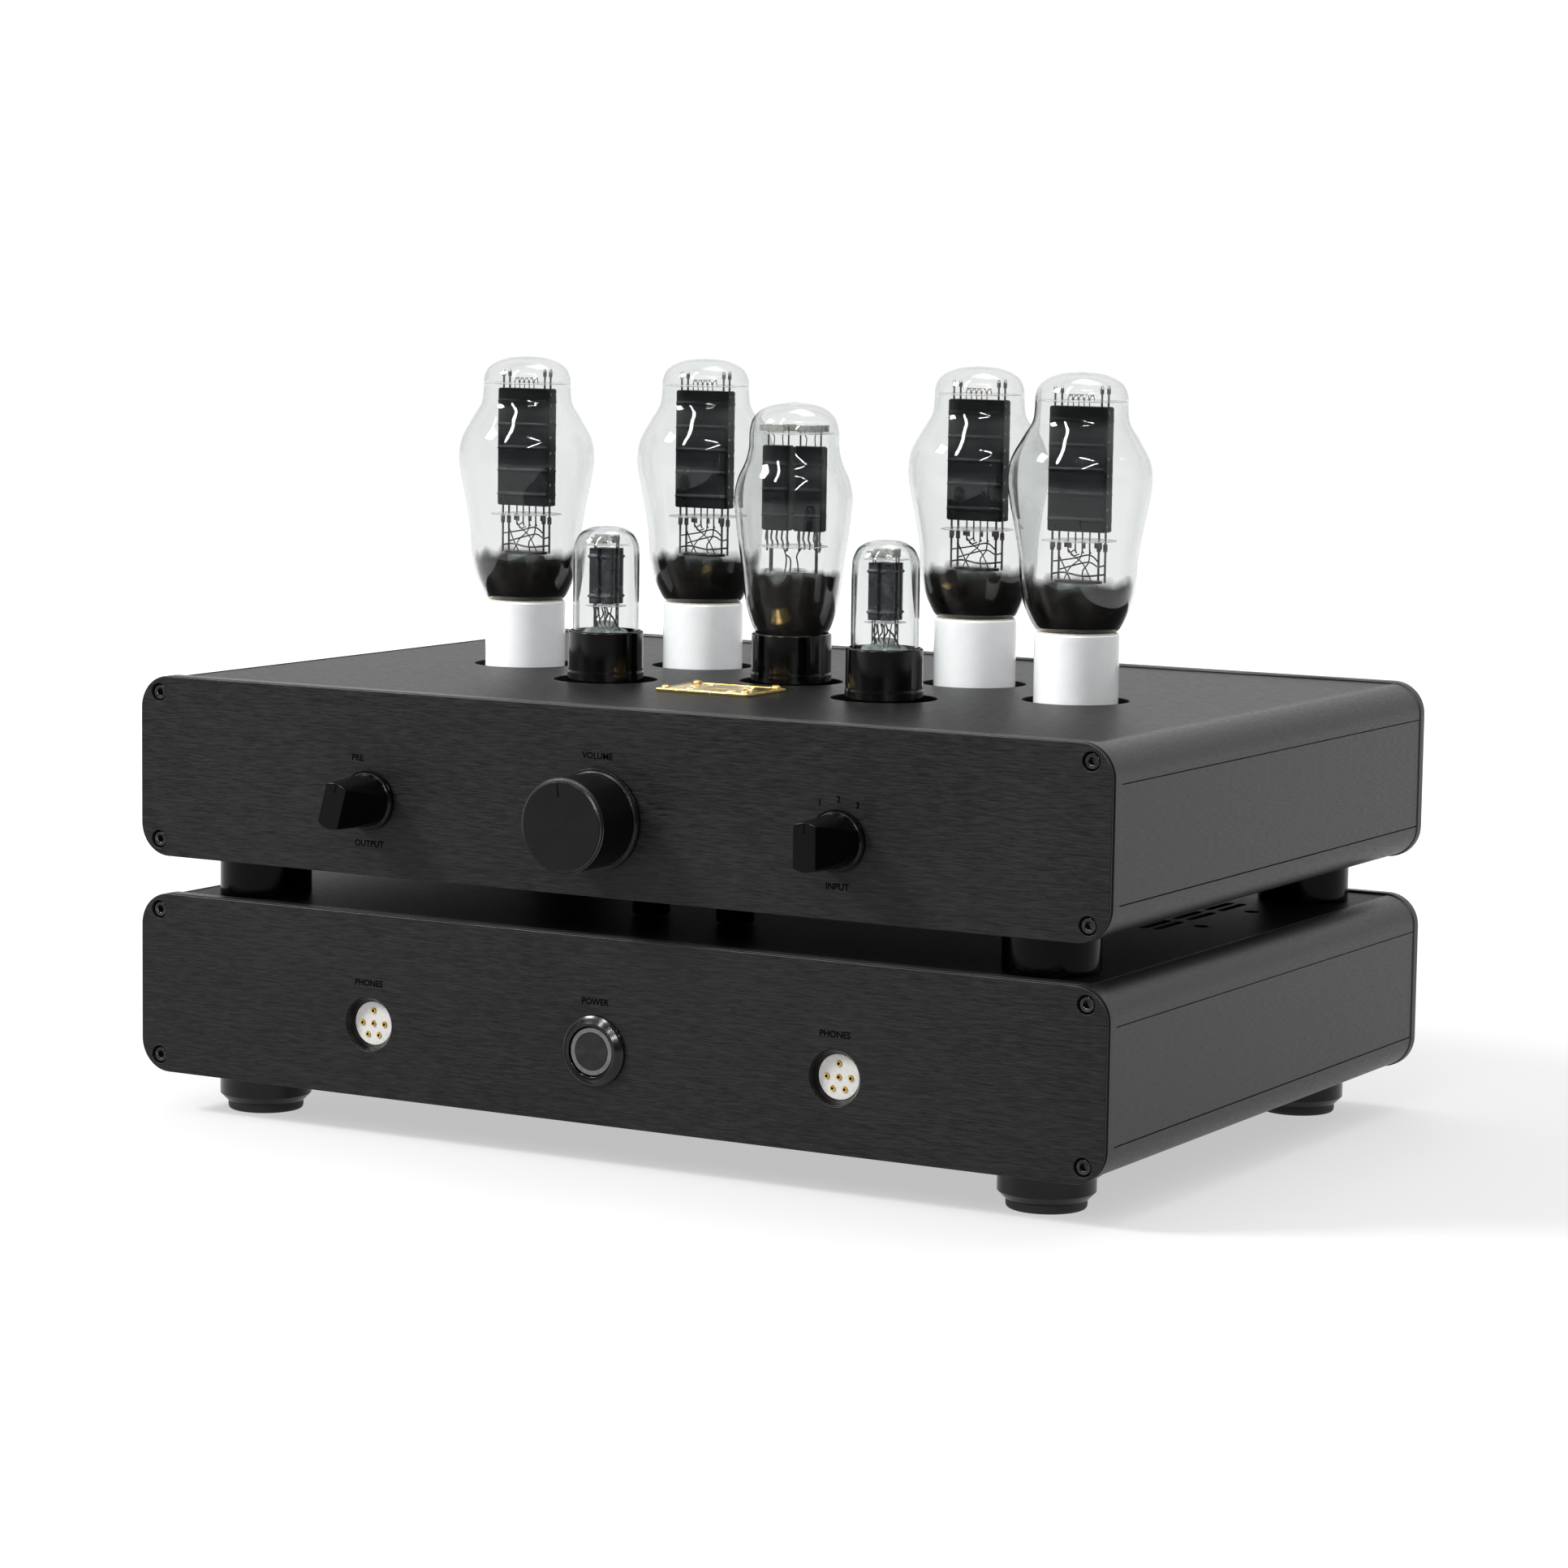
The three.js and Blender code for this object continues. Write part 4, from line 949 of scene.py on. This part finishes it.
def make_power_button():
    place = (0, FRONT_Y, SOCKET_Z)
    put = pieces_at("power_switch", place, FORWARD)
    bezel = [
        (10.4, -8), (10.4, 3.3), (11.7, 3.5), (13.6, 1.7), (14.5, 1.2), (14.5, 0.3), (12.1, 0.3),
        (12.1, -13.8), (10.4, -13.8), (10.4, -8)][::-1]
    put("bezel", turned(bezel, 0.2, 3, 96), "bezel", instead_of=["power_switch_body"])
    put("barrel", lathed([(0, -34), (12.0, -34), (12.0, -14), (0, -14)], 48), "plastic")
    put = pieces_at("power_button", place, FORWARD, "power_button")
    skirt = [(0, -11.3), (10.1, -11.3), (10.1, 2.1), (9.8, 2.5), (0, 2.5)]
    put("cap", turned(skirt, 0.15, 3, 96), "button", instead_of=["power_button"])
    ring = [(7.9, 2.45), (9.75, 2.45), (9.75, 2.66), (7.9, 2.66), (7.9, 2.45)]
    put("light_ring", turned(ring, 0.08, 2, 96), "ring")
    face = [(0, 2.45), (7.7, 2.45), (7.7, 2.7), (7.4, 2.7), (0, 2.55)]
    put("face", turned(face, 0.05, 2, 96), "button")


def make_headphone_socket(node):
    put = pieces_at(node, (centre(node).x, FRONT_Y, SOCKET_Z), FORWARD)
    shell = [
        (0, -26), (9.5, -26), (9.5, -11.2), (15, -11.2), (15, -8.8), (11.5, -8.8),
        (11.5, -4.6), (0, -4.6)]
    put("shell", lathed(shell, 72), "bezel", instead_of=[node])
    chamfer = [(9.4, -4.5), (9.4, -3.7), (11.2, -0.7), (11.42, -0.6), (11.42, -4.5), (9.4, -4.5)]
    put("chamfer", lathed(rounded(chamfer, 0.15, 3)[::-1], 96), "chamfer")
    contact_circle, hole = 5.45, 1.15
    angles = [math.radians(a) for a in (0, 90, 180, 240, 300)]
    places = [(0.0, 0.0)] + [
        (contact_circle * math.cos(a), contact_circle * math.sin(a)) for a in angles]
    holes = [circle(hole, 20, x, y) for x, y in places]
    put("insulator", slab(circle(9.25, 64), -4.5, -3.8, 0.25, holes), "insulator")
    sleeve = turned([
        (0.55, -6.5), (1.12, -6.5), (1.12, -3.3), (0.6, -3.3), (0.55, -6.5)], 0.1, 2, 20)
    # The floor discs are near-black: painted shade at the bottom of the contact holes.
    floor = lathed([(0, -6.2), (1.1, -6.2), (1.1, -6.0), (0, -6.0)], 12)
    put("contacts", merged([shifted(sleeve, x, y) for x, y in places]), "gold")
    put("contact_wells", merged([shifted(floor, x, y) for x, y in places]), "shadow")


def make_labels():
    """Generic function words and dial numbers beside the controls."""
    letter = 2.6
    words = [
        ("VOLUME", 0, KNOB_Z + 25.8), ("PRE", -SELECTOR_X - 6, KNOB_Z + 17.3),
        ("OUTPUT", -SELECTOR_X, KNOB_Z - 18.4), ("INPUT", SELECTOR_X, KNOB_Z - 18.4),
        ("1", SELECTOR_X - 8.5, KNOB_Z + 14.4), ("2", SELECTOR_X, KNOB_Z + 16.1),
        ("3", SELECTOR_X + 8.5, KNOB_Z + 14.4), ("POWER", 0, SOCKET_Z + 20),
        ("PHONES", -SELECTOR_X, SOCKET_Z + 17.5), ("PHONES", SELECTOR_X, SOCKET_Z + 17.5),
    ]
    for number, (word, x, z) in enumerate(words):
        add_piece(f"label_{number}_{word.lower()}", moved(lettering(word, letter), FORWARD), "ink",
                  place=(x, FRONT_Y - 0.02, z))


# ---------------------------------------------------------------- nameplate

def make_nameplate():
    low, high = box("nameplate")
    place = (*centre("nameplate").xy, low.z)
    put = pieces_at("nameplate", place)
    width, depth, thick = high.x - low.x, high.y - low.y, high.z - low.z
    outline = soft_rectangle(width, depth, 1.2, 4)
    put("metal", slab(outline, 0, thick - 0.35, 0.25), "brass", instead_of=["nameplate"])
    border = slab(soft_rectangle(width - 1.2, depth - 1.2, 1, 4), thick - 0.4, thick - 0.15,
                  0.1, [soft_rectangle(width - 2.6, depth - 2.6, 0.8, 4)])
    lozenge = slab([(8, 0), (0, 3.2), (-8, 0), (0, -3.2)], thick - 0.4, thick - 0.2, 0.1)
    scrolls = []
    for side in (-1, 1):
        for rise in (-1, 1):
            spiral = [(side * (9 + 5.2 * (1 - 0.11 * i) * math.sin(0.55 * i)),
                       rise * (8.4 - 3.4 * (1 - 0.11 * i) * math.cos(0.55 * i)), thick - 0.45)
                      for i in range(9)]
            scrolls.append(wire(spiral, 0.26, 4))
        scrolls.append(wire([(side * 10, 0, thick - 0.45), (side * 14, 1.4, thick - 0.45),
                             (side * 18, 0, thick - 0.45)], 0.26))
    put("ornament", merged([border, lozenge, *scrolls]), "brass")
    head = turned([(0, thick - 0.2), (2.1, thick - 0.2), (2.1, thick + 0.2), (1.5, thick + 0.9),
                   (0, thick + 1.2)], 0.4, 4, 32)
    # Each slot is drawn as a thin raised bar of darker brass.
    slot = slab(rectangle(2.6, 0.45), thick + 0.6, thick + 1.22, 0.03)
    for number, (x, y) in enumerate(((-19.3, -13), (19.3, -13), (-19.3, 13), (19.3, 13))):
        at = (place[0] + x, place[1] + y, place[2])
        add_piece(f"nameplate_screw_{number}", head, "brass", place=at)
        turned_slot = moved(slot, Matrix.Rotation(0.6 + 1.1 * number, 4, "Z"))
        add_piece(f"nameplate_screw_slot_{number}", turned_slot, "brass_dark", place=at)


# ---------------------------------------------------------------- tubes
# Heights are above the deck.

POWER_GLASS = [(16.1, 26.2), (16.3, 28.6), (18.6, 31.4), (22.5, 40), (24.3, 50), (25.0, 60),
               (27.0, 72), (29.3, 83.5), (30.2, 92), (28.9, 100.5), (24.0, 109.6), (20.3, 116),
               (19.5, 122.5), (19.2, 127.5), (16.6, 132.3), (9.5, 135.7), (0, 136.8)]
RECTIFIER_GLASS = [(15.2, 18.8), (15.6, 21.2), (17.4, 24.7), (20.1, 34), (22.2, 50), (24.0, 62.5),
                   (25.4, 75), (25.5, 81), (23.9, 88), (21.2, 94), (19.6, 100.5), (19.3, 108),
                   (17.2, 114.2), (11.0, 118.6), (0, 120.4)]
DRIVER_GLASS = [(14.15, 18.8), (14.2, 22), (14.25, 40), (14.2, 54), (13.7, 58.6), (11.2, 63),
                (6.2, 65.6), (0, 66.2)]


def tube_pieces(name):
    """Adds a tube's pieces, standing on the deck over the middle of its base."""
    return pieces_at(name, (*centre(f"{name}_base").xy, DECK_Z))


def make_glass(name, profile):
    """Thin blown envelope: the outer curve, and an inner one parallel to it."""
    outer = smoothed(profile, 6)
    thickness = 0.9
    inner = []
    for i, point in enumerate(outer):
        along = Vector(outer[min(i + 1, len(outer) - 1)]) - Vector(outer[max(i - 1, 0)])
        along.normalize()
        inner.append((max(point[0] - along.y * thickness, 0), point[1] + along.x * thickness))
    inner[-1] = (0, outer[-1][1] - thickness)
    wall = [*outer, *reversed(inner), outer[0]]
    tube_pieces(name)(
        "envelope", lathed(wall, 96), "glass", crease=60, instead_of=[f"{name}_glass"])
    return inner


def make_mirror(name, look, inner, top):
    """Flashed film just inside the glass, from its mouth up to a height."""
    film = [(max(r - 0.12, 0), h) for r, h in inner if h < top]
    tube_pieces(name)("mirror", lathed(film, 96), look, crease=60)


def sheet_anode(width, depth, low, high, ribs, dent, corner=0.12):
    """A flattened sheet-metal box with raised ribs round it and dented faces."""
    outline = soft_rectangle(width, depth, min(width, depth) * corner, 5)
    dense = []
    for i, point in enumerate(outline):
        following = Vector(outline[(i + 1) % len(outline)])
        pieces = max(1, round((following - Vector(point)).length / 0.9))
        dense += [tuple(Vector(point).lerp(following, k / pieces)) for k in range(pieces)]
    waves = [(random.uniform(-0.45, 0.45), random.uniform(-0.4, 0.4), random.uniform(0, 6))
             for _ in range(4)]
    pits = [(random.uniform(-0.4, 0.4) * width, random.uniform(low + 4, high - 4),
             random.uniform(1.6, 3.2), random.uniform(-1.0, 0.6)) for _ in range(5)]
    rows = 140
    rib_height, rib_width = 0.8, 0.5
    vertices = []
    for row in range(rows + 1):
        level = low + (high - low) * row / rows
        rib = rib_height * math.exp(-(min(abs(level - r) for r in ribs) / rib_width) ** 2)
        for x, y in dense:
            push = sum(math.sin(kx * x + kz * level + turn) for kx, kz, turn in waves) / 4
            push += sum(deep * math.exp(-((x - px) ** 2 + (level - pz) ** 2) / size ** 2)
                        for px, pz, size, deep in pits)
            face = min(1.0, 3.0 * (1 - abs(x) / (width / 2)))
            out = rib + dent * push * face
            vertices.append((x + math.copysign(rib * min(abs(x), 1) * 0.6, x),
                             y + math.copysign(min(abs(y), 1), y) * out, level))
    return stacked(vertices, len(dense))


def mica_disc(radius, height, cut=0.0):
    """A thin insulating disc with a toothed rim, cut straight at its sides."""
    rim, steps, tooth, thickness = [], 72, 0.5, 0.3
    for i in range(steps):
        angle = 2 * math.pi * i / steps
        reach = radius - (tooth if i % 3 == 0 else 0.0)
        x = max(-radius + cut, min(radius - cut, reach * math.cos(angle)))
        rim.append((x, reach * math.sin(angle)))
    return slab(rim, height, height + thickness, 0.05, steps=1)


def make_power_tube(name):
    put = tube_pieces(name)
    wall = rounded(
        [(17.0, -7.6), (17.8, -7.0), (17.8, 27.6), (17.3, 28.3), (16.9, 28.3)], 0.5, 4)
    base = [(0, -7.6), *wall, (16.8, 27.4), (16.8, 25.6), (0, 25.6)]
    put("ceramic", lathed(base, 96), "ceramic", instead_of=[f"{name}_base"])
    ring = [(15.6, 26), (16.75, 26), (16.75, 28.4), (16.4, 28.9), (15.6, 28.9), (15.6, 26)]
    put("cement", lathed(rounded(ring, 0.2, 2), 72), "cement")
    inner = make_glass(name, POWER_GLASS)
    make_mirror(name, "power_mirror", inner, 53)
    anode = sheet_anode(25.6, 7.2, 70.5, 122.4, (75.5, 86, 96, 106, 116.5), 0.55)
    strap = slab(soft_rectangle(0.9, 6.0, 0.3, 2), 70.8, 122.0, 0.15)
    straps = [shifted(strap, x=x) for x in (-13.0, 13.0)]
    rivets = [shifted(moved(lathed([(0.6, 0), (0.55, 0.3), (0, 0.42)], 10), SIDEWAYS), 13.4, y, z)
              for y in (-1.8, 1.8) for z in (73, 80, 87, 94, 101, 108, 115, 120)]
    rivets += [moved(r, Matrix.Rotation(math.pi, 4, "Z")) for r in rivets]
    put("anode", merged([anode, *straps]), "anode", crease=50)
    put("rivets", merged(rivets), "wire")
    put("micas", merged([mica_disc(18.7, 124.5), mica_disc(15.8, 66.6)]), "mica")
    rods = []
    tip = turned([(0, 0), (0.8, 0), (0.8, 2.2), (0.4, 3.6), (0, 3.8)], 0.2, 2, 10)
    eyelet = turned([(0, 0), (0.95, 0), (0.95, 3.2), (0, 3.2)], 0.2, 2, 10)
    for x in (-12.4, -9.2, 9.2, 12.2):
        rods.append(wire([(x, 0, 49.5), (x, 0, 71)], 0.5))
        rods.append(wire([(x, 0, 122), (x, 0, 128.4)], 0.45))
        rods += [shifted(tip, x, 0, 127.6), shifted(eyelet, x, 0, 62.4)]
    rods += [wire([(x, 0, 122), (x, 0, 125.5), (x + 0.5, 0.4, 126.6), (x + 1.5, 0, 127.2),
                   (x + 2.1, -0.3, 126), (x + 2.1, 0, 124.8)], 0.22)
             for x in (-6.4, -3.9, -1.4, 1.1, 3.6)]
    rods += [wire([(x, 0, 70.5), (x, 0, 63), (x + 0.8, -0.4, 61.6)], 0.35)
             for x in (-5, -1.6, 1.6, 5)]
    rods.append(wire([(-7.6, -0.6, 127.2), (5.8, -0.6, 127.2)], 0.2))
    tabs = [shifted(slab(rectangle(1.5, 0.4), 63.6, 66.7, 0.1), x=x, y=y)
            for x, y in ((-10.8, -2), (-7, 2), (-3.2, -2), (3.2, -2), (7, 2), (10.8, -2))]
    put("rods", merged([*rods, *tabs]), "wire")
    tangle = [
        wire([(-12.4, 0, 57.6), (-7, -3, 58.4), (0, -4, 59.6), (6, -2, 61), (9.2, 0, 58)], 0.32),
        wire([(-9.2, 0, 54.2), (-4, 3, 56), (3, 3.5, 57.6), (8, 2, 56), (12.2, 0, 57)], 0.32),
        wire([(-12.4, 0, 52.4), (-5, -3.4, 53.4), (4, -3.4, 52.2), (12.2, 0, 53)], 0.4),
        wire([(-9.2, 0, 60.4), (-5.6, -2.4, 56), (-3.4, -3, 52.6), (-2.6, -1, 49)], 0.3),
        wire([(5, 0, 63), (5.8, -2.4, 58), (3.4, -3, 54), (3, -1, 49)], 0.3),
        wire([(-5, 0, 63), (-1, -3, 60.6), (4, -3.5, 57), (7.2, -2, 49.6)], 0.26),
        wire([(1.6, 0, 63), (-0.5, 2, 59), (-5, 2, 55), (-7, 0, 49.4)], 0.26),
        wire([(-1.6, 0, 63), (-3.2, -1, 61.6), (-1.4, -2.4, 60.4), (1.2, -2, 61.2)], 0.26)]
    collar = slab(soft_rectangle(21, 5, 2, 4), 49.0, 50.2, 0.25,
                  [soft_rectangle(18, 2.6, 1.2, 4)])
    put("leads", merged([*tangle, collar]), "dark_wire")
    stem = [(0, 26.5), (9, 26.5), (6.4, 32), (5.2, 42), (5.8, 48.6), (0, 49.2)]
    pinch = moved(turned(stem, 1.5, 4, 40), Matrix.Diagonal((1.7, 0.6, 1, 1)))
    put("stem", pinch, "stem")


def make_octal_base(name, radius, height):
    profile = [(0, -3), *rounded([
        (radius - 0.5, -3), (radius + 0.35, -2.2), (radius + 0.2, 3.2), (radius, 4.2),
        (radius, height - 0.6), (radius - 0.5, height), (radius - 1.1, height)], 0.3, 4),
        (radius - 1.2, height - 2.6), (0, height - 2.6)]
    tube_pieces(name)(
        "bakelite", lathed(profile, 96), "bakelite", instead_of=[f"{name}_base"])


def make_rectifier(name):
    put = tube_pieces(name)
    make_octal_base(name, 17.3, 20.9)
    inner = make_glass(name, RECTIFIER_GLASS)
    make_mirror(name, "rectifier_mirror", inner, 48.5)
    anodes, rods = [], []
    for x, width in ((-7.9, 12.4), (8.0, 13.0)):
        box_shape = sheet_anode(width, 6.4, 65, 101.5, (71.5, 82.5, 93.5), 0.6, 0.3)
        anodes.append(shifted(box_shape, x=x))
        for side in (-1, 1):
            edge = x + side * (width / 2 + 0.1)
            anodes.append(shifted(slab(soft_rectangle(0.7, 4.6, 0.2, 2), 65.4, 101, 0.12),
                                  x=edge))
            rods.append(wire([(x + side * 5.0, 0, 56), (x + side * 5.0, 0, 66)], 0.45))
            rods.append(wire([(x + side * 5.0, 0, 101), (x + side * 5.0, 0, 109.4)], 0.4))
            rods.append(wire([(x + side * 2.4, 0, 101), (x + side * 2.0, 0, 104.6),
                              (x + side * 2.6, -0.6, 107), (x + side * 1.4, 0, 109.2)], 0.24))
        for i in (-2, -1, 0, 1, 2):
            at = x + i * 2.6
            rods.append(wire([(at, 0, 65.2), (at, -0.8, 61.6), (at + 0.7, -0.8, 59.6),
                              (at + 0.2, 0, 57.2)], 0.46))
    put("anodes", merged(anodes), "anode", crease=50)
    plates = [mica_disc(15.2, 58.2, 0.5), mica_disc(17.2, 106.8, 1.0)]
    put("micas", merged(plates), "mica")
    put("rods", merged(rods), "wire")
    tabs = []
    for x, y in ((-9.2, -3), (9.2, -3), (-8, 4), (8, 4)):
        channel = slab(soft_rectangle(12.2, 2.6, 0.4, 2), 107.6, 110.6, 0.15,
                       [soft_rectangle(11, 1.6, 0.3, 2)])
        tabs.append(shifted(channel, x=x, y=y))
    put("getter", merged(tabs), "getter")
    leads = [
        wire([(-10.8, 0, 58), (-10.9, 0, 46)], 0.9),
        wire([(-5, 0, 58), (-3.4, 0, 54), (-3.4, 0, 50), (-4.4, 0, 45)], 0.32),
        wire([(-2.8, 0, 58), (-3.2, -1, 55), (-0.6, -1, 52.6), (-1.4, 0, 46)], 0.32),
        wire([(4.6, 0, 58), (2.0, 0, 54.4), (2.6, 0, 50), (2.6, 0, 46)], 0.32),
        wire([(11.6, 0, 65), (11.6, 0, 45)], 0.7)]
    put("leads", merged(leads), "wire")
    bar = slab(soft_rectangle(27, 4.2, 1.8, 4), 44.8, 47.2, 0.8)
    pinch = turned(
        [(0, 20), (9, 20), (5.8, 27), (4.8, 38), (5.8, 44.6), (0, 45.4)], 1.4, 4, 40)
    stem = moved(pinch, Matrix.Diagonal((1.8, 0.6, 1, 1)))
    put("stem", merged([bar, stem]), "stem")


def make_driver_tube(name):
    put = tube_pieces(name)
    make_octal_base(name, 16.2, 21.2)
    make_glass(name, DRIVER_GLASS)
    anodes = []
    for y in (-3.3, 3.3):
        for x in (-3.1, 3.1):
            anodes.append(shifted(sheet_anode(4.6, 4.4, 32.7, 56.6, (36, 53), 0.05), x=x, y=y))
        anodes.append(shifted(slab(rectangle(11.6, 0.5), 32.7, 56.6, 0.1), y=y))
    put("anodes", merged(anodes), "driver_anode", crease=40)
    plates = [mica_disc(9.6, 57.8, 0.4), mica_disc(8.8, 31.6, 0.6)]
    put("micas", merged(plates), "mica")
    channel = slab(soft_rectangle(12, 4.6, 0.6, 3), 58.6, 62.2, 0.35,
                   [soft_rectangle(10.4, 3, 0.4, 3)])
    tilted = moved(channel, Matrix.Translation((2, -3, 0.6)) @ Matrix.Rotation(-0.3, 4, "Z"))
    strip = shifted(slab(soft_rectangle(8.6, 2.6, 0.5, 3), 58.4, 61.4, 0.3), -5.4, 1.5)
    put("getter", merged([tilted, strip]), "getter")
    rods = [wire([(x, y, 22), (x, y, 60)], 0.35)
            for x, y in ((-6, 0), (6, 0), (-3.1, -3.3), (3.1, 3.3))]
    rods += [wire([(x, y, 31.8), (x * 0.8 + 0.6, y * 1.3, 27.5), (x * 0.5, y * 0.6, 21)], 0.28)
             for x, y in ((-4.6, -3), (-1.6, -3.4), (1.6, -3.2), (4.6, -2.6), (-3.6, 3), (3.6, 3))]
    put("rods", merged(rods), "wire")
    dark = [wire([(x, -2.4, 31), (x + 1.4, -3.6, 28), (x - 0.8, -3, 25), (x + 0.3, -2, 22.5)], 0.32)
            for x in (-3, -0.6, 1.8)]
    dark.append(wire([(3, -3, 29), (6, -4, 27), (7.4, -3, 23.8), (8.6, -2, 21)], 0.4))
    put("leads", merged(dark), "dark_wire")
    stem = turned(
        [(0, 19), (10.5, 19), (8.4, 21.4), (4.4, 22.8), (3.6, 25), (0, 25.6)], 0.9, 4, 40)
    put("stem", moved(stem, Matrix.Diagonal((1.15, 0.75, 1, 1))), "stem")


def make_tubes():
    for number in (1, 2, 3, 4):
        make_power_tube(f"power_tube_{number}")
    make_rectifier("rectifier_tube")
    for side in ("left", "right"):
        make_driver_tube(f"driver_tube_{side}")


# ---------------------------------------------------------------- rear and inside

def make_jacks():
    low, high = box("signal_jack_panel")
    middle = centre("signal_jack_panel")
    place = (middle.x, REAR_Y, middle.z)
    outline = soft_rectangle(high.x - low.x, high.z - low.z, 3, 5)
    add_piece("signal_jack_plate", moved(slab(outline, 0.3, 2.3, 0.35), REARWARD), "side",
              place=place, instead_of=["signal_jack_panel"])
    reach = high.y - REAR_Y
    for column in range(3):
        for row, colour in ((0.5, "white"), (-0.5, "red")):
            at = (middle.x + (column - 1) * 42, REAR_Y, middle.z + row * 16)
            name = f"signal_jack_{column}_{'upper' if row > 0 else 'lower'}"
            put = pieces_at(name, at, REARWARD)
            nut = slab(rounded(circle(6.0, 6), 0.5, 2, True), 2.3, 4.4, 0.3)
            barrel = turned([(4.6, 2.3), (4.6, 4.8), (4.15, 5.0), (4.15, reach), (3.3, reach),
                             (3.3, 3.4)], 0.2, 3, 48)
            add_piece(name, moved(merged([nut, barrel]), REARWARD), "gold", place=at)
            core = [(3.3, 3), (3.3, reach - 0.8), (1.8, reach - 0.8), (1.7, 3)]
            put("insulator", turned(core, 0.2, 2, 32), colour)
            # A near-black disc deep in the jack: painted shade.
            put("well", lathed([(0, 3.0), (1.8, 3.0), (1.8, 3.2), (0, 3.2)], 16), "shadow")


def make_inlet():
    middle, mouth = centre("mains_inlet"), box("mains_inlet")[1].y
    for number, (x, z) in enumerate(((-7, -2), (7, -2), (0, 3.6))):
        blade = slab(rectangle(2.0, 4.2), -17, -2.5, 0.35)
        add_piece(f"mains_inlet_blade_{number}", moved(blade, REARWARD), "steel",
                  place=(middle.x + x, mouth, middle.z + z))
    for number, x in enumerate((-20, 20)):
        head = lathed(rounded([(0, 0), (2.8, 0), (2.8, 0.6), (1.2, 1.3), (0, 1.3)], 0.2, 3), 32)
        add_piece(f"mains_inlet_screw_{number}", moved(head, REARWARD), "screw",
                  place=(middle.x + x, mouth, middle.z))


CARRIED_OVER = {
    "mains_inlet": "plastic",
    "amplifier_board": "plastic",
    "power_supply_board": "board",
    "power_transformer": "copper",
    "volume_potentiometer": "steel",
    "output_selector_switch": "steel",
    "input_selector_switch": "steel",
}


def finish_carried_over():
    """CAD nodes that keep their shape get their finish here."""
    for node, look in CARRIED_OVER.items():
        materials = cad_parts[node].data.materials
        materials.clear()
        materials.append(LOOKS[look].material)


# ---------------------------------------------------------------- scene

make_looks()
make_camera()
make_studio()
make_floor()
make_chassis()
make_supports()
make_volume_knob()
make_selectors()
make_power_button()
for socket in ("headphone_socket_left", "headphone_socket_right"):
    make_headphone_socket(socket)
make_labels()
make_nameplate()
make_tubes()
make_jacks()
make_inlet()
finish_carried_over()
